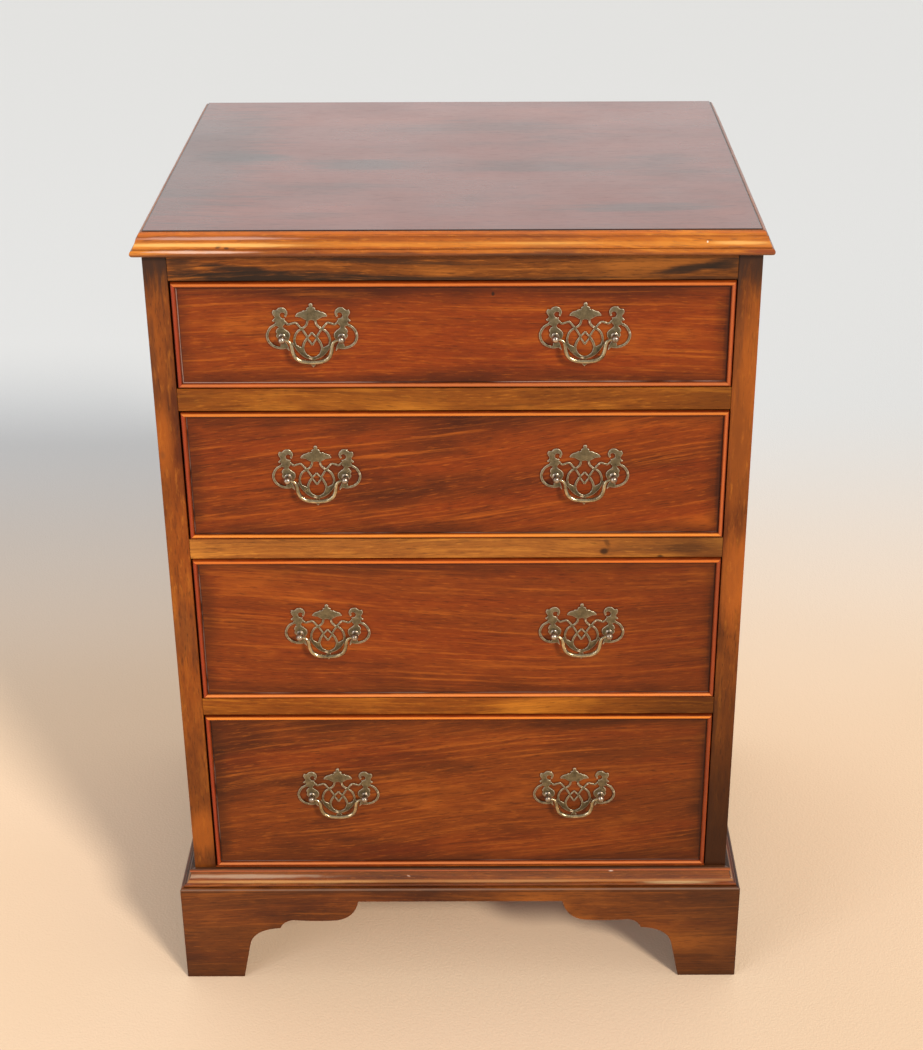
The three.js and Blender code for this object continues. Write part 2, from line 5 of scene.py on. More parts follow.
import bpy
from mathutils import Matrix, Vector

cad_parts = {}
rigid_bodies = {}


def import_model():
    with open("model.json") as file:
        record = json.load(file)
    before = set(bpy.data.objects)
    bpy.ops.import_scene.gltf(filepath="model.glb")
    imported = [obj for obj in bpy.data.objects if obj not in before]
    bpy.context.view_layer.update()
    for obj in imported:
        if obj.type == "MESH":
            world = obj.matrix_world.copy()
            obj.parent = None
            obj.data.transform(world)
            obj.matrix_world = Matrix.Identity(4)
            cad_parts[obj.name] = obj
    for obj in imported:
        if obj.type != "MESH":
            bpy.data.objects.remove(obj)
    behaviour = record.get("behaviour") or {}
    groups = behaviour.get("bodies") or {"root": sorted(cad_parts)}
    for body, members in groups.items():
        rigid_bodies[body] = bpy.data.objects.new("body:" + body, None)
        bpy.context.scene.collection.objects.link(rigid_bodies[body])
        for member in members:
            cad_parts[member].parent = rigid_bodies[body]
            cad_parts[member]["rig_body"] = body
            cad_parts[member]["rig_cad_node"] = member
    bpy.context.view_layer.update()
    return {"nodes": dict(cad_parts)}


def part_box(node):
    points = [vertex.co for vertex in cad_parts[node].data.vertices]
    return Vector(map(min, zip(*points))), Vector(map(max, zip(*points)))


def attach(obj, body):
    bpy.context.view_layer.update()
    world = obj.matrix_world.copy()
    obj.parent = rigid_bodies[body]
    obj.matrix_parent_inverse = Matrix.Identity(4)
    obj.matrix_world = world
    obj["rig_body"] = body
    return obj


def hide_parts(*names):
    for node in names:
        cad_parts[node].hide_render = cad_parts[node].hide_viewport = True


print("loading the frame")
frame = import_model()


def leaveAll():
    bpy.ops.object.select_all(action="DESELECT")


def takeAll():  # every vertex of the mesh under edit
    bpy.ops.mesh.select_all(action="SELECT")


def named(obj, name):
    obj.name = obj.data.name = name
    return obj


def pick(obj):
    leaveAll()
    obj.select_set(True)
    bpy.context.view_layer.objects.active = obj


def edit(obj):
    pick(obj)
    bpy.ops.object.mode_set(mode="EDIT")
    bpy.ops.mesh.select_mode(type="VERT")


def draw(name, line, close=True):  # an outline or a path, drawn vertex by vertex
    leaveAll()
    bpy.ops.mesh.primitive_plane_add(size=0.001, location=line[0])
    obj = named(bpy.context.object, name)
    bpy.ops.object.transform_apply(location=True, rotation=False, scale=False)
    bpy.ops.object.mode_set(mode="EDIT")
    bpy.ops.mesh.select_mode(type="VERT")
    takeAll()
    bpy.ops.mesh.merge(type="CENTER")
    for before, after in zip(line, line[1:]):
        bpy.ops.mesh.extrude_vertices_move(TRANSFORM_OT_translate={"value": Vector(after) - Vector(before)})
    takeAll()
    if close:
        bpy.ops.mesh.edge_face_add()
    return obj


def pull(x, y, z):  # extrudes what is selected
    bpy.ops.mesh.extrude_region_move(TRANSFORM_OT_translate={"value": (x, y, z)})


def saw(place, normal):  # cuts off all that lies on the side of the normal
    takeAll()
    bpy.ops.mesh.bisect(plane_co=place, plane_no=normal, use_fill=True, clear_outer=True)


def settle(obj, angle=35):  # back to object mode, faces outwards and smooth
    if obj.mode == "EDIT":
        takeAll()
        bpy.ops.mesh.remove_doubles(threshold=0.000001)
        bpy.ops.mesh.normals_make_consistent(inside=False)
        bpy.ops.object.mode_set(mode="OBJECT")
    pick(obj)
    bpy.ops.object.shade_smooth_by_angle(angle=math.radians(angle))
    return obj


def modify(obj, kind, **settings):
    pick(obj)
    modifier = obj.modifiers.new(kind.title(), kind)
    for key, value in settings.items():
        setattr(modifier, key, value)
    bpy.ops.object.modifier_apply(modifier=modifier.name)
    return obj


def easeEdges(obj, width, segments=2, angle=30):
    modify(obj, "BEVEL", width=width, segments=segments, limit_method="ANGLE",
           angle_limit=math.radians(angle), use_clamp_overlap=True)
    return modify(settle(obj), "WEIGHTED_NORMAL", keep_sharp=True)


def board(name, low, high):  # a sawn board between two corners
    leaveAll()
    size = [b - a for a, b in zip(low, high)]
    middle = [(a + b) / 2 for a, b in zip(low, high)]
    bpy.ops.mesh.primitive_cube_add(size=1, location=middle, scale=size)
    obj = named(bpy.context.object, name)
    bpy.ops.object.transform_apply(location=True, rotation=True, scale=True)
    return obj


def twin(pattern, name, shift=(0, 0, 0)):
    obj = pattern.copy()
    obj.data = pattern.data.copy()
    bpy.context.scene.collection.objects.link(obj)
    obj.data.transform(Matrix.Translation(shift))
    return named(obj, name)


def fromFrame(node, name):  # a clean copy of a CAD node, with flat faces made whole
    obj = twin(frame["nodes"][node], name)
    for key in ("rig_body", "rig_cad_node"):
        if key in obj:
            del obj[key]
    obj.parent = None
    obj.data.materials.clear()
    edit(obj)
    takeAll()
    bpy.ops.mesh.remove_doubles(threshold=0.00001)
    bpy.ops.mesh.dissolve_limited(angle_limit=math.radians(0.5))
    bpy.ops.object.mode_set(mode="OBJECT")
    return obj


def discard(obj):
    bpy.data.objects.remove(obj, do_unlink=True)


def joined(name, parts):
    leaveAll()
    for part in parts:
        part.select_set(True)
    bpy.context.view_layer.objects.active = parts[0]
    bpy.ops.object.join()
    return named(bpy.context.object, name)


def fit(obj, body, slot, material, *nodes):  # finish and body of a piece, and the nodes it stands for
    obj.data.materials.clear()
    obj.data.materials.append(material)
    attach(obj, body)
    if nodes:
        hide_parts(*nodes)


def arc(out, up, radiusOut, radiusUp, start, end, steps):
    turns = [math.radians(start + (end - start) * step / steps) for step in range(steps + 1)]
    return [(out + radiusOut * math.cos(turn), up + radiusUp * math.sin(turn)) for turn in turns]


def smoothLine(points, steps, closed=False):  # a rounded line through the given points
    count = len(points)
    line = []
    for index in range(count if closed else count - 1):
        four = []
        for offset in (-1, 0, 1, 2):
            place = index + offset
            place = place % count if closed else min(max(place, 0), count - 1)
            four.append(Vector(points[place]))
        a, b, c, d = four
        for step in range(steps):
            t = step / steps
            line.append((2 * b + (c - a) * t + (2 * a - 5 * b + 4 * c - d) * t * t
                         + (3 * b - a - 3 * c + d) * t ** 3) / 2)
    if not closed:
        line.append(Vector(points[-1]))
    return line


def bend(a, b, c, steps):  # a curve from a to c that leans towards b
    line = []
    for step in range(1, steps + 1):
        t = step / steps
        line.append(tuple((1 - t) ** 2 * p + 2 * t * (1 - t) * q + t * t * r for p, q, r in zip(a, b, c)))
    return line


class Value:  # a socket that takes part in plain sums
    def __init__(self, finish, socket):
        self.finish, self.socket = finish, socket

    def sum(self, operation, first, second=None):
        values = {index: value for index, value in enumerate((first, second)) if value is not None}
        return self.finish.node("ShaderNodeMath", {"operation": operation}, values)

    def __add__(self, other):
        return self.sum("ADD", self, other)

    def __sub__(self, other):
        return self.sum("SUBTRACT", self, other)

    def __rsub__(self, other):
        return self.sum("SUBTRACT", other, self)

    def __mul__(self, other):
        return self.sum("MULTIPLY", self, other)

    def __pow__(self, other):
        return self.sum("POWER", self, other)

    def __abs__(self):
        return self.sum("ABSOLUTE", self)

    def least(self, other):
        return self.sum("MINIMUM", self, other)

    def most(self, other):
        return self.sum("MAXIMUM", self, other)


class Finish:  # a material under way
    def __init__(self, name):
        self.material = bpy.data.materials.new(name)
        self.material.use_nodes = True
        self.tree = self.material.node_tree
        self.tree.nodes.clear()

    def node(self, kind, settings=None, sockets=None, out=0):
        made = self.tree.nodes.new(kind)
        for key, value in (settings or {}).items():
            if key == "stops":
                elements = made.color_ramp.elements
                elements.remove(elements[1])
                elements[0].position, elements[0].color = value[0]
                for place, colour in value[1:]:
                    elements.new(place).color = colour
            else:
                setattr(made, key, value)
        for key, value in (sockets or {}).items():
            if isinstance(value, Value):
                self.tree.links.new(value.socket, made.inputs[key])
            else:
                made.inputs[key].default_value = value
        return Value(self, made.outputs[out])

    def place(self):
        return self.node("ShaderNodeTexCoord", out="Object")

    def axes(self, vector):
        split = self.node("ShaderNodeSeparateXYZ", sockets={0: vector})
        return {name: Value(self, split.socket.node.outputs[name]) for name in "XYZ"}

    def together(self, x, y, z):
        return self.node("ShaderNodeCombineXYZ", sockets={0: x, 1: y, 2: z})

    def noise(self, vector, scale, shift=0.0, detail=2.0, rough=0.5, distortion=0.0):
        moved = self.node("ShaderNodeMapping", sockets={
            "Vector": vector, "Scale": scale, "Location": (shift * 3.1, shift * 7.7 + 1.3, shift * 5.3)})
        return self.node("ShaderNodeTexNoise", sockets={
            "Vector": moved, "Scale": 1.0, "Detail": detail, "Roughness": rough, "Distortion": distortion})

    def span(self, value, low, high, newLow=0.0, newHigh=1.0):
        return self.node("ShaderNodeMapRange", {"interpolation_type": "SMOOTHSTEP"}, {
            "Value": value, "From Min": low, "From Max": high, "To Min": newLow, "To Max": newHigh})

    def mix(self, factor, a, b):
        return self.node("ShaderNodeMix", {"data_type": "RGBA"}, {0: factor, 6: a, 7: b}, out=2)

    def ramp(self, factor, *stops):
        return self.node("ShaderNodeValToRGB", {"stops": stops}, {0: factor})

    def bump(self, height, strength, distance):
        return self.node("ShaderNodeBump", sockets={"Height": height, "Strength": strength, "Distance": distance})

    def close(self, **sockets):
        named = {key.replace("_", " "): value for key, value in sockets.items()}
        shader = self.node("ShaderNodeBsdfPrincipled", sockets=named)
        output = self.tree.nodes.new("ShaderNodeOutputMaterial")
        self.tree.links.new(shader.socket, output.inputs["Surface"])
        return self.material


def shade(red, green, blue):  # a colour, 0 to 255, as Blender wants it
    linear = [((v / 255 + 0.055) / 1.055) ** 2.4 if v > 10 else v / 3294.6 for v in (red, green, blue)]
    return (*linear, 1.0)


plainWood = {
    "axes": "XZY",  # along the grain, across it, through the board
    "dark": (76, 29, 8), "base": (122, 50, 9), "light": (182, 96, 24),
    "seed": 0.0,
    "slope": 0.0,  # how much the figure climbs along the board
    "waver": 0.006,
    "bands": (1.6, 15, 15), "lines": (6, 240, 120), "dashes": (68, 640, 420),
    "flush": (138, 46, 9), "flushShare": 0.2,  # redder patches
    "clouds": (9, 24, 24), "bandShare": 0.85, "cloudShare": 0.9, "lineShare": 0.6, "dashShare": 0.5, "poreShare": 0.45,
    "edge": None,  # (low along, high along, low across, high across), painted shade near these
    # the narrow dark line at the foot: dirt and painted shade in the crease
    # the pale line at the left and bottom feet: painted reflection
    "edgeReach": 0.016, "edgeDark": 0.5, "dirtReach": 0.0019, "dirt": 0.85, "footSheen": 0.0,
    "fades": (),  # soft darkening: axis, where it starts, where it is full, share
    "fadeDepth": None,  # how far behind the face the darkening reaches
    "washes": (),  # lines of another tone, mostly painted highlights and painted shade, one of dirt: axis, middle, half width, tint, share
    "spots": (),  # marks, painted highlights and painted shadows: place, size, turn seen from the front, depth and perhaps a tint of their own
    "spotTint": (38, 22, 12),
    "roughness": 0.36, "specular": 0.16, "coat": 0.05, "coatRoughness": 0.14, "bump": 0.14,
}


def wood(name, **changes):
    look = {**plainWood, **changes}
    finish = Finish(name)
    here = finish.place()
    axes = finish.axes(here)
    along, across, through = (axes[letter] for letter in look["axes"])
    seed = look["seed"]
    ground = finish.together(along, across, through)
    drift = finish.noise(ground, (2.4, 5, 5), seed + 0.4, 1.0) - 0.5
    grain = across + along * look["slope"] + drift * (look["waver"] * 8)
    figure = finish.together(along, grain, through)
    bands = finish.noise(figure, look["bands"], seed, 2.0, 0.5, 0.3)
    cloud = finish.noise(ground, look["clouds"], seed + 4.2, 3.0, 0.6)
    lines = finish.noise(figure, look["lines"], seed + 1, 4.0, 0.68)
    dashes = finish.noise(figure, look["dashes"], seed + 2, 3.0, 0.65)
    pores = finish.span(finish.noise(figure, (90, 1500, 1100), seed + 3, 1.0), 0.58, 0.72)
    mottle = (cloud - 0.5) * look["cloudShare"]
    if look["fadeDepth"]:
        atFront = finish.span(axes["Y"], *look["fadeDepth"], 1.0, 0.0)
        mottle = mottle * (atFront * 0.7 + 0.3)
    tone = (bands - 0.5) * look["bandShare"] + mottle + 0.5
    dark, base, light = (shade(*look[key]) for key in ("dark", "base", "light"))
    colour = finish.ramp(tone, (0.22, dark), (0.47, base), (0.56, base), (0.85, light))
    flush = finish.noise(figure, (3, 34, 34), seed + 7, 2.0)
    colour = finish.mix(finish.span(flush, 0.46, 0.66, 0.0, look["flushShare"]), colour, shade(*look["flush"]))
    colour = finish.mix(finish.span(lines, 0.52, 0.72, 0.0, look["lineShare"]), colour, light)
    colour = finish.mix(finish.span(lines, 0.48, 0.28, 0.0, look["lineShare"]), colour, dark)
    colour = finish.mix(finish.span(dashes, 0.54, 0.76, 0.0, look["dashShare"]), colour, light)
    colour = finish.mix(finish.span(dashes, 0.46, 0.26, 0.0, look["dashShare"]), colour, dark)
    colour = finish.mix(pores * look["poreShare"], colour, shade(*[v * 0.45 for v in look["dark"]]))
    if look["edge"]:
        lowAlong, highAlong, lowAcross, highAcross = look["edge"]
        nearest = (along - lowAlong).least(highAlong - along).least(across - lowAcross).least(highAcross - across)
        edgeWearAndLight = finish.noise(ground, (16, 16, 16), seed + 5, 2.0)
        # painted shade near the edges
        shadow = finish.span(nearest + (edgeWearAndLight - 0.5) * 0.024, 0.0, look["edgeReach"], look["edgeDark"], 0.0)
        colour = finish.mix(shadow, colour, shade(*[v * 0.62 for v in look["dark"]]))
        # a narrow dark line in the crease at the foot: dirt and painted shade
        dirt = finish.span(nearest + (edgeWearAndLight - 0.5) * 0.001, 0.0003, look["dirtReach"], look["dirt"], 0.0)
        colour = finish.mix(dirt, colour, shade(34, 14, 6))
        # a pale line along the left and bottom feet: painted reflection
        if look["footSheen"]:
            corner = (along - lowAlong).least(across - lowAcross) + (edgeWearAndLight - 0.5) * 0.0012
            footSheenMask = finish.span(abs(corner - 0.0005), 0.0001, 0.0006, look["footSheen"], 0.0)
            colour = finish.mix(footSheenMask * finish.span(cloud, 0.4, 0.55), colour, shade(176, 140, 126))
    for letter, start, full, share in look["fades"]:
        fade = finish.span(axes[letter] + (cloud - 0.5) * (abs(full - start) * 0.5), start, full, 0.0, share)
        if look["fadeDepth"]:
            fade = fade * atFront
        colour = finish.mix(fade, colour, shade(*[v * 0.5 for v in look["dark"]]))
    # lines of painted highlight and painted shade, and dirt
    for letter, middle, reach, tint, share in look["washes"]:
        off = abs(axes[letter] - middle) + (cloud - 0.5) * (reach * 0.6) + (lines - 0.5) * (reach * 0.6)
        colour = finish.mix(finish.span(off, reach * 0.35, reach, share, 0.0), colour, shade(*tint))
    # marks, painted highlights and painted shadows
    for place, size, turn, depth, *tint in look["spots"]:
        inside = finish.node("ShaderNodeMapping", {"vector_type": "TEXTURE"}, {
            "Vector": here, "Location": place, "Rotation": (0, -math.radians(turn), 0), "Scale": size})
        reach = finish.node("ShaderNodeVectorMath", {"operation": "LENGTH"}, {0: inside}, out="Value")
        ragged = (lines - 0.5) * 1.3 + (cloud - 0.5) * 0.8 + (dashes - 0.5) * 0.7
        colour = finish.mix(finish.span(reach + ragged, 0.3, 1.05, depth, 0.0), colour,
                            shade(*(tint[0] if tint else look["spotTint"])))
    wear = finish.noise(ground, (9, 9, 9), seed + 6, 3.0)
    roughness = finish.span(wear, 0.3, 0.7, look["roughness"] - 0.05, look["roughness"] + 0.07) + pores * 0.12
    height = dashes * 0.5 - pores * 0.7 + wear * 0.6
    return finish.close(Base_Color=colour, Roughness=roughness, Specular_IOR_Level=look["specular"],
                        Coat_Weight=look["coat"], Coat_Roughness=look["coatRoughness"],
                        Normal=finish.bump(height, look["bump"], 0.0004))


def brass(name, dull, bright, roughness, metal=1.0, edgeWearAndLight=0.0):
    finish = Finish(name)
    here = finish.place()
    cloud = finish.noise(here, (190, 190, 190), 0.3, 3.0, 0.6)
    specks = finish.noise(here, (900, 900, 900), 1.1, 2.0, 0.6)
    colour = finish.ramp(cloud * 0.7 + specks * 0.3, (0.3, shade(*dull)), (0.68, shade(*bright)))
    # bright rims: rubbed wear and a painted edge highlight
    if edgeWearAndLight:
        rim = finish.node("ShaderNodeNewGeometry", out="Pointiness")
        colour = finish.mix(finish.span(rim, 0.505, 0.56, 0.0, edgeWearAndLight), colour, shade(226, 214, 186))
    rough = finish.span(cloud, 0.3, 0.7, roughness + 0.08, roughness - 0.06)
    return finish.close(Base_Color=colour, Metallic=metal, Roughness=rough,
                        Normal=finish.bump(specks + cloud, 0.25, 0.0003))


print("setting up the studio")
studio = {
    "place": (0.031, -1.7292, 1.2452), "turn": (63.3155, 0.1785, -0.0736), "lens": 74.98,
    "shift": (-0.0314, 0.0132),
    "sky": (230, 229, 228), "skyTurn": 0.6, "skyFront": 0.55, "skyBack": 1.14, "backdrop": 0.98,
    "floor": 50, "floorSun": (236, 207, 174), "floorWarm": (241, 214, 184), "floorFar": (216, 219, 221),
    "key": {"place": (3.4, -4.9, 3.9), "aim": (0.0, 0.0, 0.35), "size": 10.5, "power": 2.7,
            "tint": (255, 246, 234)},
    "fill": {"place": (-3.0, -3.4, 1.8), "aim": (0.0, 0.0, 0.4), "size": (2.2, 2.2), "power": 50,
             "tint": (236, 240, 255)},
    "strip": {"place": (-1.9, -1.7, 1.5), "aim": (0.0, -0.2, 0.4), "size": (0.5, 1.3), "power": 4.5,
              "tint": (240, 244, 255)},
}
lens = bpy.data.cameras.new("camera")
lens.sensor_fit, lens.sensor_width, lens.lens = "HORIZONTAL", 36, studio["lens"]
lens.shift_x, lens.shift_y = studio["shift"]
lens.clip_start, lens.clip_end = 0.05, 60
camera = bpy.data.objects.new("camera", lens)
camera.location = studio["place"]
camera.rotation_euler = [math.radians(turn) for turn in studio["turn"]]
bpy.context.scene.collection.objects.link(camera)
bpy.context.scene.camera = camera
bpy.context.scene.view_settings.view_transform = "Standard"

sky = bpy.data.worlds.new("studio")
sky.use_nodes = True
nodes, links = sky.node_tree.nodes, sky.node_tree.links
background = nodes["Background"]
background.inputs["Color"].default_value = shade(*studio["sky"])
split = nodes.new("ShaderNodeSeparateXYZ")
links.new(nodes.new("ShaderNodeTexCoord").outputs["Generated"], split.inputs[0])
rise = nodes.new("ShaderNodeMapRange")
for key, value in (("From Min", -studio["skyTurn"]), ("From Max", studio["skyTurn"]),
                   ("To Min", studio["skyFront"]), ("To Max", studio["skyBack"])):
    rise.inputs[key].default_value = value
links.new(split.outputs["Y"], rise.inputs["Value"])
backdrop = nodes.new("ShaderNodeMix")  # the eye sees one plain tone on every side
backdrop.inputs["B"].default_value = studio["backdrop"]
links.new(nodes.new("ShaderNodeLightPath").outputs["Is Camera Ray"], backdrop.inputs["Factor"])
links.new(rise.outputs[0], backdrop.inputs["A"])
links.new(backdrop.outputs[0], background.inputs["Strength"])
bpy.context.scene.world = sky


def shine(name, place, aim, size, power, tint):  # a sun with its angle as size, or else a panel
    distant = not isinstance(size, tuple)
    light = bpy.data.lights.new(name, "SUN" if distant else "AREA")
    if distant:
        light.angle = math.radians(size)
    else:
        light.shape = "RECTANGLE"
        light.size, light.size_y = size
    light.energy = power
    light.color = shade(*tint)[:3]
    obj = bpy.data.objects.new(name, light)
    obj.location = place
    obj.rotation_euler = (Vector(aim) - Vector(place)).to_track_quat("-Z", "Y").to_euler()
    bpy.context.scene.collection.objects.link(obj)


for lamp in ("key", "fill", "strip"):
    shine(lamp, **studio[lamp])


def floorFinish():
    finish = Finish("floor_cloth")
    here = finish.place()
    axes = finish.axes(here)
    reach = (axes["X"] * axes["X"] + (axes["Y"] + 0.4) * (axes["Y"] + 0.4)) ** 0.5
    cloud = finish.noise(here, (1.4, 1.4, 1.4), 0.2, 2.0)
    nap = finish.noise(here, (420, 420, 420), 0.7, 2.0)
    warm = finish.mix(finish.span(cloud, 0.3, 0.7), shade(*studio["floorSun"]), shade(*studio["floorWarm"]))
    far = finish.span(reach, 1.0, 2.2).most(finish.span(axes["Y"], 0.1, 1.3))
    colour = finish.mix(far, warm, shade(*studio["floorFar"]))
    return finish.close(Base_Color=colour, Roughness=0.95, Specular_IOR_Level=0.1,
                        Normal=finish.bump(nap, 0.2, 0.002))


leaveAll()
bpy.ops.mesh.primitive_plane_add(size=studio["floor"], location=(0, 0, 0))
ground = bpy.context.object
ground.name = "floor"
ground.data.materials.append(floorFinish())

print("building the case")
caseSizes = {"front": -0.2065, "back": 0.2205, "half": 0.257}
caseFront, caseBack, halfCase = caseSizes["front"], caseSizes["back"], caseSizes["half"]
lining = wood("drawer_lining", axes="YXZ", dark=(132, 92, 52), base=(176, 134, 86), light=(202, 164, 112),
              seed=3.0, roughness=0.62, specular=0.2, coat=0.0, bands=(1.2, 30, 30), bump=0.3,
              cloudShare=0.5, flushShare=0.0)
panelWood = wood("back_panel", axes="XZY", dark=(122, 90, 56), base=(168, 132, 88), light=(192, 158, 112),
                 seed=4.0, roughness=0.7, specular=0.2, coat=0.0, bump=0.35, bands=(1.0, 22, 22), cloudShare=0.45,
                 flushShare=0.0)


def dress(node, body, slot, material, ease=0.0005):
    obj = fromFrame(node, node + "_piece")
    easeEdges(obj, ease)
    fit(obj, body, slot, material, node)


honey = {"dark": (86, 42, 10), "base": (130, 70, 17), "light": (190, 118, 36)}
for side, seed, out in (("left", 11.0, -1), ("right", 12.3, 1)):
    spots = [((out * 0.247, caseFront, 0.745), (0.05, 0.02, 0.048), 0, 0.85)]
    fades = [("Z", 0.69, 0.735, 0.62)]
    fades += [("Z", 0.4, 0.1, 0.35)] if out < 0 else [("Z", 0.475, 0.165, 0.93), ("X", 0.242, 0.235, 0.25)]
    if out < 0:
        spots += [((-0.2535, caseFront, 0.5608), (0.003, 0.004, 0.0055), 0, 0.9),
                  ((-0.256, caseFront, 0.65), (0.006, 0.012, 0.06), 0, 0.4),
                  ((-0.247, caseFront, 0.385), (0.02, 0.01, 0.045), 0, 0.3),
                  ((-0.252, caseFront, 0.575), (0.01, 0.006, 0.04), 0, 0.45, (180, 94, 26)),
                  ((-0.244, caseFront, 0.165), (0.02, 0.006, 0.032), 0, 0.4, (184, 98, 28))]
    else:
        spots += [((0.247, caseFront, 0.605), (0.03, 0.006, 0.115), 0, 0.32, (180, 96, 30)),
                  ((0.25, caseFront, 0.435), (0.018, 0.006, 0.055), 0, 0.5, (184, 98, 32)),
                  ((0.24, caseFront, 0.66), (0.006, 0.01, 0.06), 0, 0.35)]
    dress(f"side_{side}", "case", "case_mahogany",
          wood(f"side_{side}_mahogany", axes="ZYX", seed=seed, flushShare=0.15,
               dark=(78, 36, 12), base=(130, 66, 17) if out < 0 else (134, 69, 19), light=(178, 104, 32),
               lines=(14, 170, 170), dashes=(60, 420, 300), bands=(1.5, 11, 34), lineShare=0.3, cloudShare=1.1,
               bandShare=0.65, spots=spots, fades=fades,
               fadeDepth=(caseFront + 0.004, caseFront + 0.03), spotTint=(52, 34, 24)))


def marks(deep, *rows):  # on the front: x, z, half width, half height, turn and share
    return [((x, caseFront, z), (wide, deep, high), turn, share) for x, z, wide, high, turn, share in rows]


friezeSpots = marks(
    0.02,
    (-0.15, 0.7218, 0.13, 0.0078, -1.0, 0.95), (-0.175, 0.729, 0.06, 0.0042, -7.0, 0.85),
    (-0.02, 0.72, 0.1, 0.0034, -1.2, 0.8), (-0.07, 0.7362, 0.105, 0.003, -2.6, 0.7),
    (0.2, 0.7292, 0.055, 0.0055, 10.0, 0.9), (0.226, 0.732, 0.022, 0.007, 6.0, 0.8),
    (0.205, 0.72, 0.05, 0.003, 0.0, 0.5), (0.1, 0.7198, 0.08, 0.0028, 1.5, 0.6),
    (-0.226, 0.732, 0.02, 0.012, 0.0, 0.6))
# the frieze's darker tones: partly its own, partly painted shade under the top's overhang
dress("top_rail_front", "case", "case_mahogany",
      wood("frieze_mahogany", seed=13.0, flushShare=0.1, dark=(64, 32, 10), base=(110, 58, 15), light=(172, 100, 34),
           fades=(("X", 0.02, 0.2, 0.35),), spots=friezeSpots, spotTint=(36, 25, 16), bands=(3.0, 30, 30),
           dashShare=0.7))
knots = marks(0.01, (0.1316, 0.465, 0.0045, 0.0042, 20, 0.85), (0.134, 0.474, 0.003, 0.006, 25, 0.5),
              (0.1816, 0.4606, 0.005, 0.003, 0, 0.8), (0.205, 0.469, 0.02, 0.008, 0, 0.4))
for number, seed, shift, fade in ((1, 14.2, -4, ("X", 0.15, 0.24, 0.3)), (2, 15.6, 14, ("X", 0.11, 0.235, 0.5)),
                                  (3, 17.1, -6, ("X", 0.09, 0.24, 0.5))):
    tints = {key: tuple(max(v + shift, 4) for v in value) for key, value in honey.items()}
    dress(f"drawer_rail_{number}", "case", "case_mahogany",
          wood(f"rail_{number}_mahogany", seed=seed, flushShare=0.1, bands=(5.0, 30, 30), cloudShare=0.9,
               spots=knots if number == 2 else (), fades=(fade,), **tints))
    for side in ("left", "right"):
        dress(f"runner_{number}_{side}", "case", "drawer_lining", lining)
dress("top_rail_back", "case", "drawer_lining", lining)
dress("bottom_board", "case", "case_mahogany", wood("bottom_mahogany", seed=19.0, bands=(1.4, 30, 10)))
dress("back_panel", "case", "back_panel", panelWood)

print("building the top")
topSizes = {"base": 0.7415, "thickness": 0.0196, "panel": 0.0204, "joint": 0.0017, "nose": 0.0031, "reach": 0.0085}
topSlope = ((0.0016, 0.0038), (0.0027, 0.0041), (0.003, 0.0049), (0.0034, 0.0064), (0.0041, 0.0084),
            (0.005, 0.0104), (0.0059, 0.0121), (0.0064, 0.0128), (0.0056, 0.0132))  # (out, down), under the ovolo


def topEdge():  # from the joint round the nose and back, as (out, level)
    s = topSizes
    top = s["base"] + s["thickness"]
    nose = arc(s["reach"] - s["nose"], s["base"] + s["nose"], s["nose"], s["nose"], -90, 78, 14)
    slope = [(out, top - down) for out, down in reversed(topSlope)]
    ovolo = arc(-0.0012, top - 0.0036, 0.0028, 0.0036, 0, 90, 9)
    rim = [(-s["joint"] + 0.0002, top), (-s["joint"], top - 0.0003)]
    return [(-s["joint"], s["base"]), *nose, *slope, *ovolo, *rim]


def mitred(name, profile, where, reach=0.02):  # one length of moulding along the front or a side
    if where == "front":
        obj = draw(name, [(-halfCase - reach, caseFront - out, level) for out, level in profile])
        pull(2 * (halfCase + reach), 0, 0)
        for side in (-1, 1):
            saw((side * halfCase, caseFront, 0), (side, 1, 0))
    else:
        side = -1 if where == "left" else 1
        obj = draw(name, [(side * (halfCase + out), caseFront - reach, level) for out, level in profile])
        pull(0, caseBack - caseFront + reach, 0)
        saw((side * halfCase, caseFront, 0), (-side, -1, 0))
    return settle(obj)


bandTop = topSizes["base"] + topSizes["thickness"]
# bright lines are painted highlights on the ovolo and slope, dark lines painted shade in the quirks and under the nose
bandPaintedLight = (
    ("Z", bandTop - 0.0012, 0.001, (206, 108, 52), 0.4),
    ("Z", bandTop - 0.0042, 0.0013, (122, 56, 20), 0.4),
    ("Z", bandTop - 0.0096, 0.0026, (228, 150, 56), 0.28),
    ("Z", bandTop - 0.0132, 0.0009, (118, 60, 20), 0.45),
    ("Z", bandTop - 0.0196, 0.0046, (92, 44, 14), 0.85))
# dents at the left end, painted highlights and reflections in the pale tints, painted shade on the nose in the dark
# ones
bandDentsAndLight = (
    ((-0.1919, -0.213, 0.7505), (0.0036, 0.008, 0.0018), 20, 0.8),
    ((-0.1855, -0.213, 0.749), (0.0026, 0.008, 0.0014), 0, 0.7),
    ((-0.06, -0.213, 0.7445), (0.05, 0.01, 0.002), 0, 0.5),
    ((0.06, -0.213, 0.7435), (0.085, 0.01, 0.002), 0, 0.5),
    ((-0.215, -0.213, bandTop - 0.0147), (0.055, 0.02, 0.0012), 0, 0.55, (240, 208, 186)),
    ((-0.195, -0.21, bandTop - 0.0047), (0.075, 0.02, 0.0012), 0, 0.6, (206, 160, 140)),
    ((-0.205, -0.212, bandTop - 0.0098), (0.085, 0.02, 0.0017), 0, 0.6, (252, 196, 112)),
    ((0.234, -0.213, bandTop - 0.0092), (0.034, 0.02, 0.0021), 0, 0.5, (246, 192, 108)),
    ((0.256, -0.213, bandTop - 0.016), (0.024, 0.02, 0.0032), 0, 0.75, (118, 46, 16)),
    ((0.2097, -0.213, 0.7527), (0.0011, 0.02, 0.0011), 0, 0.9, (250, 236, 214)),
    ((0.08, -0.213, bandTop - 0.009), (0.07, 0.02, 0.0012), 0, 0.35, (240, 176, 86)))
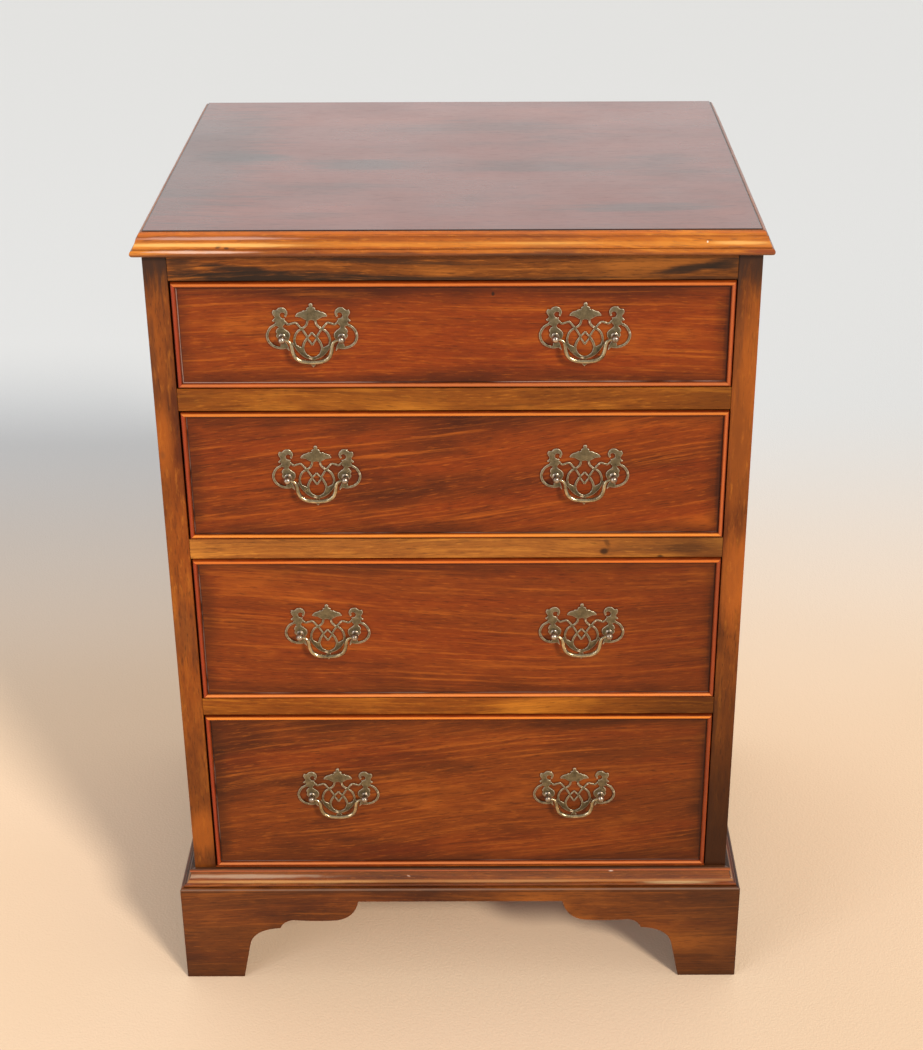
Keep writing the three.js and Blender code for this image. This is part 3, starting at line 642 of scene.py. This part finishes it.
bandTints = {
    "front": {"dark": (112, 54, 10), "base": (172, 92, 18), "light": (216, 136, 44), "coat": 0.55, "specular": 0.25,
              "spots": bandDentsAndLight},
    # the side lengths: darker and duller than the front, painted shade
    "side": {"dark": (70, 34, 14), "base": (120, 62, 22), "light": (160, 92, 36), "coat": 0.3, "specular": 0.1,
             "bump": 0.03},
}
lengths = (("front", "front", "XZY"), ("left", "side", "YZX"), ("right", "side", "YZX"))
for seed, (where, kind, axes) in enumerate(lengths, 21):
    lip = mitred(f"top_moulding_{where}", topEdge(), where)
    easeEdges(lip, 0.00012, 1, 60)
    fit(lip, "case", "top_mahogany",
        wood(f"top_moulding_{where}_mahogany", axes=axes, seed=seed, roughness=0.26, coatRoughness=0.1,
             washes=bandPaintedLight, **bandTints[kind]))
gap = topSizes["joint"] + 0.0004
topPanel = board("top_panel", (-halfCase + gap, caseFront + gap, topSizes["base"]),
                 (halfCase - gap, caseBack, topSizes["base"] + topSizes["panel"] + 0.00005))
easeEdges(topPanel, 0.0003, 2)
# dark patches on the top; the wide one at the left end is a painted duller reflection
topPatchesAndSheen = (
    ((-0.2, 0.016, 0.762), (0.055, 0.026, 0.02), 0, 0.55),
    ((-0.087, -0.012, 0.762), (0.075, 0.022, 0.02), 0, 0.5),
    ((0.146, -0.144, 0.762), (0.095, 0.018, 0.02), 0, 0.6),
    ((0.02, 0.12, 0.762), (0.12, 0.034, 0.02), 0, 0.4),
    ((-0.12, -0.165, 0.762), (0.06, 0.012, 0.02), 0, 0.25),
    ((-0.235, 0.02, 0.762), (0.085, 0.26, 0.02), 0, 0.52))
fit(topPanel, "case", "top_mahogany",
    wood("top_mahogany", axes="XYZ", seed=25.0, dark=(86, 30, 8), base=(118, 43, 13), light=(136, 55, 20),
         bands=(2.0, 11, 10), coat=0.85, roughness=0.3, specular=0.4, bump=0.02, spots=topPatchesAndSheen,
         lineShare=0.38, dashShare=0.32, poreShare=0.25, flushShare=0.2, spotTint=(44, 31, 27),
         edge=(-halfCase + gap, halfCase - gap, caseFront + gap, 1.0), edgeDark=0.1, dirtReach=0.0016), "top_board")

print("building the plinth")
plinthSizes = {"height": 0.1065, "projection": 0.014, "thickness": 0.02, "arris": 0.0025, "length": 0.172,
               "rise": 0.091, "gap": 0.0002}
bracket = (  # where each curve leans and ends, as shares of length and height
    (None, (0.328, 0)), (None, (0.372, 0.418)), ((0.387, 0.615), (0.523, 0.648)), (None, (0.552, 0.651)),
    ((0.57, 0.747), (0.628, 0.758)), ((0.756, 0.737), (0.872, 0.753)), ((0.977, 0.78), (1, 1)),
)


def bracketLine(steps=8):
    line = []
    for lean, end in bracket:
        line += bend(line[-1], lean, end, steps) if lean else [end]
    return [(along * plinthSizes["length"], up * plinthSizes["rise"]) for along, up in line]


def plinthBoard(name, start, end, place, inner, axis, cuts):
    half = bracketLine()
    line = [(start, 0), *[(start + along, up) for along, up in half],
            *[(end - along, up) for along, up in reversed(half)], (end, 0),
            (end, plinthSizes["height"]), (start, plinthSizes["height"])]
    points = [(a, place, z) if axis == "X" else (place, a, z) for a, z in line]
    obj = draw(name, points)
    pull(*((0, inner - place, 0) if axis == "X" else (inner - place, 0, 0)))
    takeAll()
    bpy.ops.mesh.normals_make_consistent(inside=False)
    bpy.ops.mesh.select_all(action="DESELECT")
    bpy.ops.object.mode_set(mode="OBJECT")
    depth = 1 if axis == "X" else 0
    for edge in obj.data.edges:
        a, b = (obj.data.vertices[index].co for index in edge.vertices)
        edge.select = all(abs(v.z - plinthSizes["height"]) < 1e-5 and abs(v[depth] - place) < 1e-5 for v in (a, b))
    bpy.ops.object.mode_set(mode="EDIT")
    bpy.ops.mesh.select_mode(type="EDGE")
    bpy.ops.mesh.bevel(offset=plinthSizes["arris"], segments=6, affect="EDGES")
    for cut in cuts:
        saw(*cut)
    settle(obj)
    return easeEdges(obj, 0.0005, 2, 40)


plinthTints = {"dark": (58, 25, 7), "base": (94, 46, 11), "light": (140, 76, 22), "bands": (4, 14, 14),
               "cloudShare": 1.2, "flushShare": 0.08, "coat": 0.25,
               "fades": (("Z", 0.05, 0.0, 0.35), ("X", 0.17, 0.26, 0.35)),
               # a painted reflection along the arris, with a dark line under it
               "washes": (("Z", 0.1052, 0.001, (136, 112, 94), 0.45), ("Z", 0.103, 0.001, (46, 24, 12), 0.5))}
outerFront, outerSide = caseFront - plinthSizes["projection"], halfCase + plinthSizes["projection"]
thick, slit = plinthSizes["thickness"], plinthSizes["gap"]
plinthFront = plinthBoard("plinth_front_piece", -outerSide, outerSide, outerFront, outerFront + thick, "X",
                          [((side * (outerSide - slit), outerFront, 0), (side, 1, 0)) for side in (-1, 1)])
fit(plinthFront, "case", "plinth_mahogany", wood("plinth_front_mahogany", seed=31.0, **plinthTints), "plinth_front")
for where, side, seed in (("left", -1, 32.0), ("right", 1, 33.0)):
    piece = plinthBoard(f"plinth_{where}_piece", outerFront, caseBack, side * outerSide, side * (outerSide - thick),
                        "Y", [((side * outerSide, outerFront + slit, 0), (-side, -1, 0))])
    fit(piece, "case", "plinth_mahogany", wood(f"plinth_{where}_mahogany", axes="YZX", seed=seed, **plinthTints),
        f"plinth_{where}")
dress("plinth_back", "case", "drawer_lining", panelWood)

mouldSizes = {"base": 0.1067, "height": 0.0166, "lip": 0.0105, "lipHeight": 0.0018, "bevel": 0.0007,
              "scotia": 0.0106, "fillet": 0.0046, "filletHeight": 0.0028, "setback": 0.0008}


def plinthEdge():
    s = mouldSizes
    foot = s["base"] + s["lipHeight"] + s["bevel"]
    top = foot + s["scotia"]
    width = s["lip"] - s["bevel"] - (s["fillet"] - s["setback"])
    hollow = arc(s["lip"] - s["bevel"], top, width, s["scotia"], -90, -180, 14)
    return [(0.0, s["base"]), (s["lip"], s["base"]), (s["lip"], s["base"] + s["lipHeight"]), *hollow,
            (s["fillet"], top), (s["fillet"], top + s["filletHeight"]),
            (s["fillet"] - s["setback"], s["base"] + s["height"]), (0.0, s["base"] + s["height"])]


# dirt on the top ledge, painted highlights on the fillet and lip, painted shade in the quirk, a dark joint line under
# the lip
mouldDirtAndLight = (
    ("Z", 0.1236, 0.0011, (58, 40, 28), 0.75), ("Z", 0.1212, 0.0008, (182, 92, 56), 0.6),
    ("Z", 0.1196, 0.0008, (60, 28, 14), 0.7), ("Z", 0.1107, 0.0012, (196, 130, 68), 0.4),
    ("Z", 0.1068, 0.001, (40, 20, 12), 0.8))
# painted sheen in the hollow and painted highlights along the lip, with a few pale specks
mouldSheenAndSpecks = (
    ((-0.215, -0.213, 0.115), (0.085, 0.02, 0.0026), 0, 0.42, (204, 180, 152)),
    ((-0.18, -0.216, 0.1102), (0.11, 0.02, 0.0012), 0, 0.3, (232, 180, 110)),
    ((0.06, -0.216, 0.1102), (0.11, 0.02, 0.001), 0, 0.2, (220, 170, 110)),
    ((0.146, -0.215, 0.12), (0.003, 0.02, 0.0012), 0, 0.8, (226, 210, 196)),
    ((0.21, -0.215, 0.1095), (0.05, 0.02, 0.0009), 0, 0.45, (232, 196, 140)),
    ((-0.05, -0.213, 0.115), (0.0018, 0.02, 0.0008), -20, 0.55, (196, 160, 138)))
mouldTints = {
    "front": {"dark": (76, 36, 10), "base": (114, 56, 17), "light": (164, 94, 34), "coat": 0.6, "specular": 0.25,
              "spots": mouldSheenAndSpecks},
    # the side lengths: darker and duller than the front, painted shade
    "side": {"dark": (48, 24, 9), "base": (78, 38, 13), "light": (120, 66, 26), "coat": 0.2, "specular": 0.1,
             "bump": 0.03},
}
profile = [(max(out, slit), level) for out, level in plinthEdge()]
for seed, (where, kind, axes) in enumerate(lengths, 35):
    moulding = mitred(f"plinth_moulding_{where}_piece", profile, where)
    easeEdges(moulding, 0.0002, 1, 50)
    fit(moulding, "case", "moulding_mahogany",
        wood(f"plinth_moulding_{where}_mahogany", axes=axes, seed=seed, washes=mouldDirtAndLight, roughness=0.26,
             coatRoughness=0.1, **mouldTints[kind]), f"plinth_moulding_{where}")

print("adding the hidden fittings")
fittings = {"block": 0.018, "blockBase": 0.03, "blockTop": 0.1064, "rail": (0.09, 0.014),
            "ease": 0.002, "stop": (0.032, 0.028, 0.006), "stopPlace": 0.13, "stopGap": 0.0002, "stopEase": 0.001,
            "pinHead": 0.0017, "pinProud": 0.0009, "pinRows": 6, "pinPitch": 0.1225, "pinColumn": 0.08,
            "pinEdge": (0.005, 0.008), "pinLow": 0.1150}
inner = {"left": -outerSide + thick + slit, "front": outerFront + thick}
inner["right"], inner["back"] = -inner["left"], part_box("plinth_back")[0].y
blockTop = fittings["blockTop"]
stripLength, stripDepth = fittings["rail"]
ease = fittings["ease"]
block = easeEdges(board("glue_block", (0, 0, fittings["blockBase"]), (fittings["block"], fittings["block"], blockTop)),
                  ease, 1)
sideStrip = easeEdges(board("glue_strip_side", (0, -stripLength, blockTop - stripDepth),
                            (stripDepth, stripLength, blockTop)), ease, 1)
frontStrip = easeEdges(board("glue_strip_front", (-stripLength / 2, inner["front"], blockTop - stripDepth),
                             (stripLength / 2, inner["front"] + stripDepth, blockTop)), ease, 1)
for where, side in (("left", 1), ("right", -1)):
    for depth, inward in (("front", 1), ("back", -1)):
        corner = (min(inner[where], inner[where] + side * fittings["block"]),
                  min(inner[depth], inner[depth] + inward * fittings["block"]), 0)
        fit(twin(block, f"glue_block_{depth}_{where}", corner), "case", "drawer_lining", panelWood)
    fit(twin(sideStrip, f"glue_strip_{where}", (min(inner[where], inner[where] + side * stripDepth), 0, 0)),
        "case", "drawer_lining", panelWood)
    fit(twin(frontStrip, f"glue_strip_front_{where}", (side * stripLength, 0, 0)), "case", "drawer_lining", panelWood)
width, depth, height = fittings["stop"]
stop = easeEdges(board("drawer_stop", (-width / 2, 0, 0), (width / 2, depth, height)), fittings["stopEase"], 1)
for number, floor in ((1, "drawer_rail_1"), (2, "drawer_rail_2"), (3, "drawer_rail_3"), (4, "bottom_board")):
    level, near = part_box(floor)[1].z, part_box(f"drawer_{number}_front")[1].y + fittings["stopGap"]
    for where, side in (("left", -1), ("right", 1)):
        fit(twin(stop, f"drawer_stop_{number}_{where}", (side * fittings["stopPlace"], near, level)),
            "case", "drawer_lining", lining)
leaveAll()
bpy.ops.mesh.primitive_cylinder_add(vertices=12, radius=fittings["pinHead"], depth=fittings["pinProud"] * 2,
                                    location=(0, 0, 0), rotation=(math.pi / 2, 0, 0))
pin = bpy.context.object
bpy.ops.object.transform_apply(location=True, rotation=True, scale=True)
easeEdges(pin, 0.0005, 2)
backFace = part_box("back_panel")[1]
fromSide, fromTop = fittings["pinEdge"]
pins = []
for row in range(fittings["pinRows"]):
    level = backFace.z - fromTop - row * fittings["pinPitch"]
    pins += [(side * (backFace.x - fromSide), level) for side in (-1, 1)]
pins += [(column * fittings["pinColumn"], level) for column in (-2, -1, 0, 1, 2)
         for level in (backFace.z - fromTop, fittings["pinLow"])]
heads = joined("back_panel_pins", [twin(pin, "pin_head", (x, backFace.y, level)) for x, level in pins])
edit(heads)
fit(settle(heads), "case", "brass", brass("pin_steel", (58, 54, 50), (104, 98, 92), 0.5, 0.8))
for pattern in (block, sideStrip, frontStrip, stop, pin):
    discard(pattern)

print("building the drawers")
beadSizes = {"width": 0.0041, "proud": 0.0025, "depth": 0.007, "spare": 0.01,
             "glint": 0.0016, "glintShare": 0.62, "glintInset": (0.0018, 0.0026, 0.0018, 0.0022)}
beadWood = {"dark": (84, 24, 6), "base": (118, 44, 10), "light": (168, 74, 20), "coat": 0.3, "roughness": 0.3,
            "specular": 0.12, "coatRoughness": 0.1, "bands": (6, 20, 20)}
beadShine = {  # the painted highlight along each bead, first drawer to fourth
    "top": ((222, 124, 52), (236, 138, 52), (234, 126, 44), (250, 146, 48)),
    "base": ((210, 120, 62), (252, 156, 58), (248, 150, 74), (216, 130, 72)),
    "left": ((160, 56, 24),) * 4,
    "right": ((196, 100, 46), (206, 106, 50), (152, 68, 32), (126, 54, 28)),
}
# the pale line share on each front: a painted reflection along its left and bottom feet
fronts = {
    1: dict(seed=41.0, base=(124, 51, 9), footSheen=0.8,
            spots=(((0.0334, caseFront, 0.7067), (0.0016, 0.01, 0.0022), 0, 0.9),)),
    2: dict(seed=43.4, slope=-0.13, dark=(74, 29, 8), base=(123, 51, 10), light=(180, 92, 24), footSheen=0.3),
    3: dict(seed=45.1, slope=0.02, base=(117, 50, 12), light=(170, 88, 24), fades=(("X", 0.08, 0.26, 0.3),), footSheen=0.35),
    4: dict(seed=47.7, slope=-0.11, dark=(68, 28, 8), base=(111, 50, 12), light=(166, 88, 26),
            fades=(("X", 0.06, 0.26, 0.3),), footSheen=0.3),
}


def cockBead(name, low, high, where):  # one mitred length of bead round a drawer front
    s = beadSizes
    radius = s["width"] / 2
    nose = arc(radius, -(s["proud"] - radius), radius, radius, 180, 360, 12)
    section = [(0, s["depth"]), *nose, (s["width"], s["depth"])]
    face = caseFront
    (x0, z0), (x1, z1) = low, high
    if where in ("top", "base"):
        edge, inward = (z1, -1) if where == "top" else (z0, 1)
        obj = draw(name, [(x0, face + out, edge + inward * inset) for inset, out in section])
        pull(x1 - x0, 0, 0)
        saw((x0, 0, edge), (-1, 0, inward))
        saw((x1, 0, edge), (1, 0, inward))
    else:
        edge, inward = (x0, 1) if where == "left" else (x1, -1)
        obj = draw(name, [(edge + inward * inset, face + out, z0) for inset, out in section])
        pull(0, 0, z1 - z0)
        saw((edge, 0, z0), (inward, 0, -1))
        saw((edge, 0, z1), (inward, 0, 1))
    return settle(obj, 50)


for number in (1, 2, 3, 4):
    body = f"drawer_{number}"
    node = f"drawer_{number}_front"
    low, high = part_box(node)
    inset, spare = beadSizes["width"], beadSizes["spare"]
    front = fromFrame(node, f"{node}_piece")
    ring = board("bead_room", (low.x - spare, caseFront - spare * 2, low.z - spare),
                 (high.x + spare, caseFront + beadSizes["depth"], high.z + spare))
    core = board("bead_core", (low.x + inset, caseFront - spare * 3, low.z + inset),
                 (high.x - inset, caseFront + spare * 2, high.z - inset))
    modify(ring, "BOOLEAN", operation="DIFFERENCE", object=core, solver="EXACT")
    modify(front, "BOOLEAN", operation="DIFFERENCE", object=ring, solver="EXACT")
    discard(ring)
    discard(core)
    settle(front)
    easeEdges(front, 0.00025, 1)
    look = dict(fronts[number])
    look["edge"] = (low.x + inset, high.x - inset, low.z + inset, high.z - inset)
    rightBeadShadow = ((high.x - inset - 0.001, caseFront, (low.z + high.z) / 2),  # a painted shadow cast by the right bead
              (0.0042, 0.01, (high.z - low.z) * 0.62), 0, 0.6, (46, 18, 8))
    look["spots"] = (*look.get("spots", ()), rightBeadShadow)
    fit(front, body, "drawer_mahogany", wood(f"front_{number}_mahogany", **look), node)
    top, base, left, right = beadSizes["glintInset"]
    glints = {"top": ("Z", high.z - top), "base": ("Z", low.z + base), "left": ("X", low.x + left),
              "right": ("X", high.x - right)}
    for index, (where, line) in enumerate(glints.items()):
        glint = (*line, beadSizes["glint"], beadShine[where][number - 1], beadSizes["glintShare"])
        bead = cockBead(f"drawer_{number}_bead_{where}", (low.x, low.z), (high.x, high.z), where)
        axes = "XZY" if where in ("top", "base") else "ZXY"
        fit(bead, body, "drawer_mahogany",
            wood(f"bead_{number}_{where}_mahogany", axes=axes, seed=50 + number * 4.3 + index, washes=(glint,),
                 **beadWood))
    for part in ("left_side", "right_side", "back"):
        dress(f"drawer_{number}_{part}", body, "drawer_lining", lining)
    dress(f"drawer_{number}_bottom", body, "back_panel", panelWood)

print("building the pulls")
pullSizes = {
    "half": 0.025, "gap": 0.0002, "plate": 0.0015, "standOff": 0.0065,
    "collar": (0.0034, 0.0006), "neck": 0.0023, "ball": 0.0033, "shank": 0.002, "nut": (0.0046, 0.004),
    "grain": 0.00027, "board": 0.019, "chamfer": 0.0004, "stub": 0.0012, "neckFoot": 0.0007,
    "pin": 0.0011, "pinTop": 0.00095, "pinHole": 0.0016, "pinRoom": 0.0003, "holeDepth": 0.02, "pinReach": 0.001,
    "drop": 0.02, "bow": 0.0019,
}
plateShapes = {  # right half, in shares of half the post spacing, from the pivot
    "crest": ((0, 1.2), (0.05, 1.18), (0.06, 1.11), (0.04, 1.07), (0.09, 1.06), (0.14, 1.03), (0.14, 0.98),
        (0.19, 0.95), (0.25, 0.95), (0.3, 0.915), (0.37, 0.895), (0.44, 0.865), (0.5, 0.81), (0.53, 0.745),
        (0.45, 0.725), (0.37, 0.715), (0.3, 0.68), (0.22, 0.63), (0.12, 0.6), (0, 0.615)),
    "bird": ((0.81, 0.79), (0.795, 0.86), (0.81, 0.93), (0.86, 1.005), (0.95, 1.055), (1.07, 1.045), (1.17, 0.965),
        (1.265, 0.965), (1.3, 0.88), (1.275, 0.8), (1.225, 0.72), (1.25, 0.65), (1.315, 0.6), (1.275, 0.56),
        (1.215, 0.57), (1.225, 0.5), (1.26, 0.43), (1.155, 0.4), (1.1, 0.36), (1.175, 0.285), (1.21, 0.2),
        (1.18, 0.13), (1.2, 0.03), (1.11, -0.09), (0.99, -0.15), (0.87, -0.14), (0.78, -0.065), (0.74, 0.04),
        (0.755, 0.15), (0.84, 0.24), (0.94, 0.32), (0.965, 0.385), (0.915, 0.455), (0.865, 0.525),
        (0.91, 0.6), (0.885, 0.655), (0.95, 0.67), (1.02, 0.7), (1.05, 0.77), (1.03, 0.845), (0.97, 0.885),
        (0.9, 0.87), (0.87, 0.82), (0.89, 0.745), (0.845, 0.72)),
    "leaf": ((0.5, -0.3), (0.67, -0.2), (0.6, -0.36), (0.48, -0.54), (0.3, -0.71), (0.12, -0.76), (0.25, -0.62),
        (0.31, -0.42)),
    "tail": ((0.98, -0.12), (0.84, -0.27), (0.78, -0.5), (0.88, -0.4), (1.08, -0.35)),
    "drip": ((0, -0.74), (0.05, -0.82), (0.12, -0.92), (0.07, -1.0), (0, -1.08)),
}
plateStrands = {
    "neck": (((0.13, 0.62), (0.17, 0.44), (0.31, 0.31), (0.46, 0.22), (0.56, 0.07), (0.6, -0.13), (0.55, -0.34),
        (0.42, -0.54), (0.25, -0.7), (0, -0.79)), 0.068),
    "arm": (((0.92, 0.58), (0.79, 0.46), (0.66, 0.49), (0.53, 0.51), (0.41, 0.38), (0.28, 0.21), (0.15, -0.01)),
        0.06),
    "circle": (((0.15, -0.01), (0.27, -0.2), (0.32, -0.4), (0.26, -0.6), (0.12, -0.72), (0, -0.75)), 0.074),
    "diamond": (((0, 0.16), (0.17, -0.03), (0, -0.28)), 0.056),
    "ring": (((1.24, 0.43), (1.37, 0.35), (1.46, 0.22), (1.51, 0.07), (1.49, -0.09), (1.41, -0.23), (1.28, -0.33),
        (1.12, -0.38), (0.96, -0.38), (0.86, -0.34)), 0.078),
}


def rod(name, line, radii):  # a round bar along a line, with its own radius at each point
    obj = draw(name, line, close=False)
    bpy.ops.object.mode_set(mode="OBJECT")
    pick(obj)
    bpy.ops.object.convert(target="CURVE")
    curve = bpy.context.object.data
    curve.bevel_depth = 1.0
    curve.bevel_resolution = 3
    curve.use_fill_caps = True
    for point, radius in zip(curve.splines[0].points, radii):
        point.radius = radius
    bpy.ops.object.convert(target="MESH")
    edit(bpy.context.object)  # so that settle closes the caps
    return bpy.context.object


def onPlate(x, z):
    return (x * pullSizes["half"], caseFront - pullSizes["gap"], z * pullSizes["half"])


def strip(line, width):  # the outline of a flat strip along a line
    left, right = [], []
    for index, point in enumerate(line):
        along = (line[min(index + 1, len(line) - 1)] - line[max(index - 1, 0)]).normalized()
        across = Vector((-along.y, along.x)) * (width / 2)
        left.append(point + across)
        right.append(point - across)
    return left + right[::-1]


def plateModel():
    parts = []
    thickness = pullSizes["plate"]
    for name, shape in plateShapes.items():
        middle = name in ("crest", "drip")  # lies across the middle, the others once on each side
        line = [onPlate(x, z) for x, z in smoothLine(shape, 3, closed=not middle)]
        for side in (1,) if middle else (1, -1):
            points = [(side * x, y, z) for x, y, z in line]
            if middle:
                points += [(-x, y, z) for x, y, z in reversed(line[1:-1])]
            obj = draw(f"plate_{name}", points)
            pull(0, -thickness, 0)
            parts.append(settle(obj))
    for name, (line, width) in plateStrands.items():
        outline = strip(smoothLine(line, 1 if name == "diamond" else 5), width)
        for side in (1, -1):
            obj = draw(f"plate_{name}", [onPlate(side * x, z) for x, z in outline])
            pull(0, -thickness, 0)
            parts.append(settle(obj))
    plate = joined("pull_plate", parts)
    modify(plate, "REMESH", mode="VOXEL", voxel_size=pullSizes["grain"], use_smooth_shade=True)
    modify(plate, "SMOOTH", factor=0.5, iterations=3)  # soft, rubbed rims
    modify(plate, "DECIMATE", ratio=0.35)
    return settle(plate, 60)


def spun(name, profile, centre, steps=28):  # turned about a line along Y through the centre
    obj = draw(name, [(centre[0] + out, y, centre[2]) for out, y in profile], close=False)
    bpy.ops.mesh.spin(steps=steps, angle=2 * math.pi, center=centre, axis=(0, 1, 0))
    return settle(obj, 40)


def postModel(side):
    s = pullSizes
    face = caseFront - s["gap"] - s["plate"]
    middle = face - s["standOff"]
    collarRadius, collarThickness = s["collar"]
    nutRadius, nutThickness = s["nut"]
    inside = caseFront + s["board"] + s["gap"]
    outside = inside + nutThickness
    cut, end = s["chamfer"], outside + s["stub"]
    neckTurn = math.degrees(math.asin(s["neck"] / s["ball"]))
    ball = arc(0, middle, s["ball"], s["ball"], 90 - neckTurn, -90, 14)
    collar = arc(collarRadius - collarThickness / 2, face - collarThickness / 2, collarThickness / 2,
                 collarThickness / 2, 90, -90, 6)
    profile = [(0, end + cut), (s["shank"] - cut, end + cut), (s["shank"], end), (s["shank"], outside),
               (nutRadius - cut, outside), (nutRadius, outside - cut), (nutRadius, inside + cut),
               (nutRadius - cut, inside), (s["shank"], inside), (s["shank"], face + 0.0006), *collar,
               (s["neck"] + s["neckFoot"], face - collarThickness - 0.0001),
               (s["neck"], face - collarThickness - s["neckFoot"] - 0.0001), *ball]
    profile[-1] = (0, profile[-1][1])
    post = spun("pull_post", profile, (side * s["half"], 0, 0))
    leaveAll()
    length = s["holeDepth"]
    deepest = side * (s["half"] + s["pinReach"] + s["pinRoom"])
    bpy.ops.mesh.primitive_cylinder_add(vertices=16, radius=s["pinHole"], depth=length,
                                        location=(deepest - side * length / 2, middle, 0),
                                        rotation=(0, math.pi / 2, 0))
    hole = bpy.context.object
    modify(post, "BOOLEAN", operation="DIFFERENCE", object=hole, solver="EXACT")
    discard(hole)
    return settle(post, 40)


bail = {  # from the right pin to the bow
    "span": (0.89, 0.787, 0.713, 0.677, 0.661, 0.626, 0.547, 0.378, 0.189, 0),
    "drop": (0.01, 0.059, 0.147, 0.284, 0.451, 0.627, 0.804, 0.941, 0.99, 1),
    "radius": (0.6, 0.7, 0.84, 0.92, 0.95, 0.97, 0.99, 1, 1, 1),
}


def bailModel():
    s = pullSizes
    y = caseFront - s["gap"] - s["plate"] - s["standOff"]
    half = [(s["half"] + s["pinReach"], 0, s["pin"])]
    for span, drop, radius in zip(bail["span"], bail["drop"], bail["radius"]):
        half.append((span * s["half"], -drop * s["drop"], radius * s["bow"]))
    whole = half + [(-x, z, radius) for x, z, radius in reversed(half[:-1])]
    line = smoothLine(whole, 6)
    return settle(rod("pull_bail", [(x, y, z) for x, z, radius in line], [radius for x, z, radius in line]), 60)


plateBrass = brass("plate_brass", (74, 63, 42), (128, 115, 86), 0.36, 0.75, 0.95)
postBrass = brass("post_brass", (104, 88, 68), (206, 188, 168), 0.28)
bailBrass = brass("bail_brass", (92, 80, 58), (216, 195, 154), 0.22)
plate, posts, swing = plateModel(), {side: postModel(side) for side in (-1, 1)}, bailModel()
for number in (1, 2, 3, 4):
    for hand in ("left", "right"):
        stem = f"pull_{number}_{hand}"
        low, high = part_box(f"{stem}_bail")
        centre = ((low.x + high.x) / 2, 0, high.z - pullSizes["pinTop"])
        fit(twin(plate, f"{stem}_plate_piece", centre), f"drawer_{number}", "brass", plateBrass, f"{stem}_plate")
        for side, word in ((-1, "left"), (1, "right")):
            fit(twin(posts[side], f"{stem}_{word}_post", centre), f"drawer_{number}", "brass", postBrass)
        fit(twin(swing, f"{stem}_bail_piece", centre), f"bail_{number}_{hand}", "brass", bailBrass, f"{stem}_bail")
for pattern in (plate, *posts.values(), swing):
    discard(pattern)

print("handing over")
leaveAll()
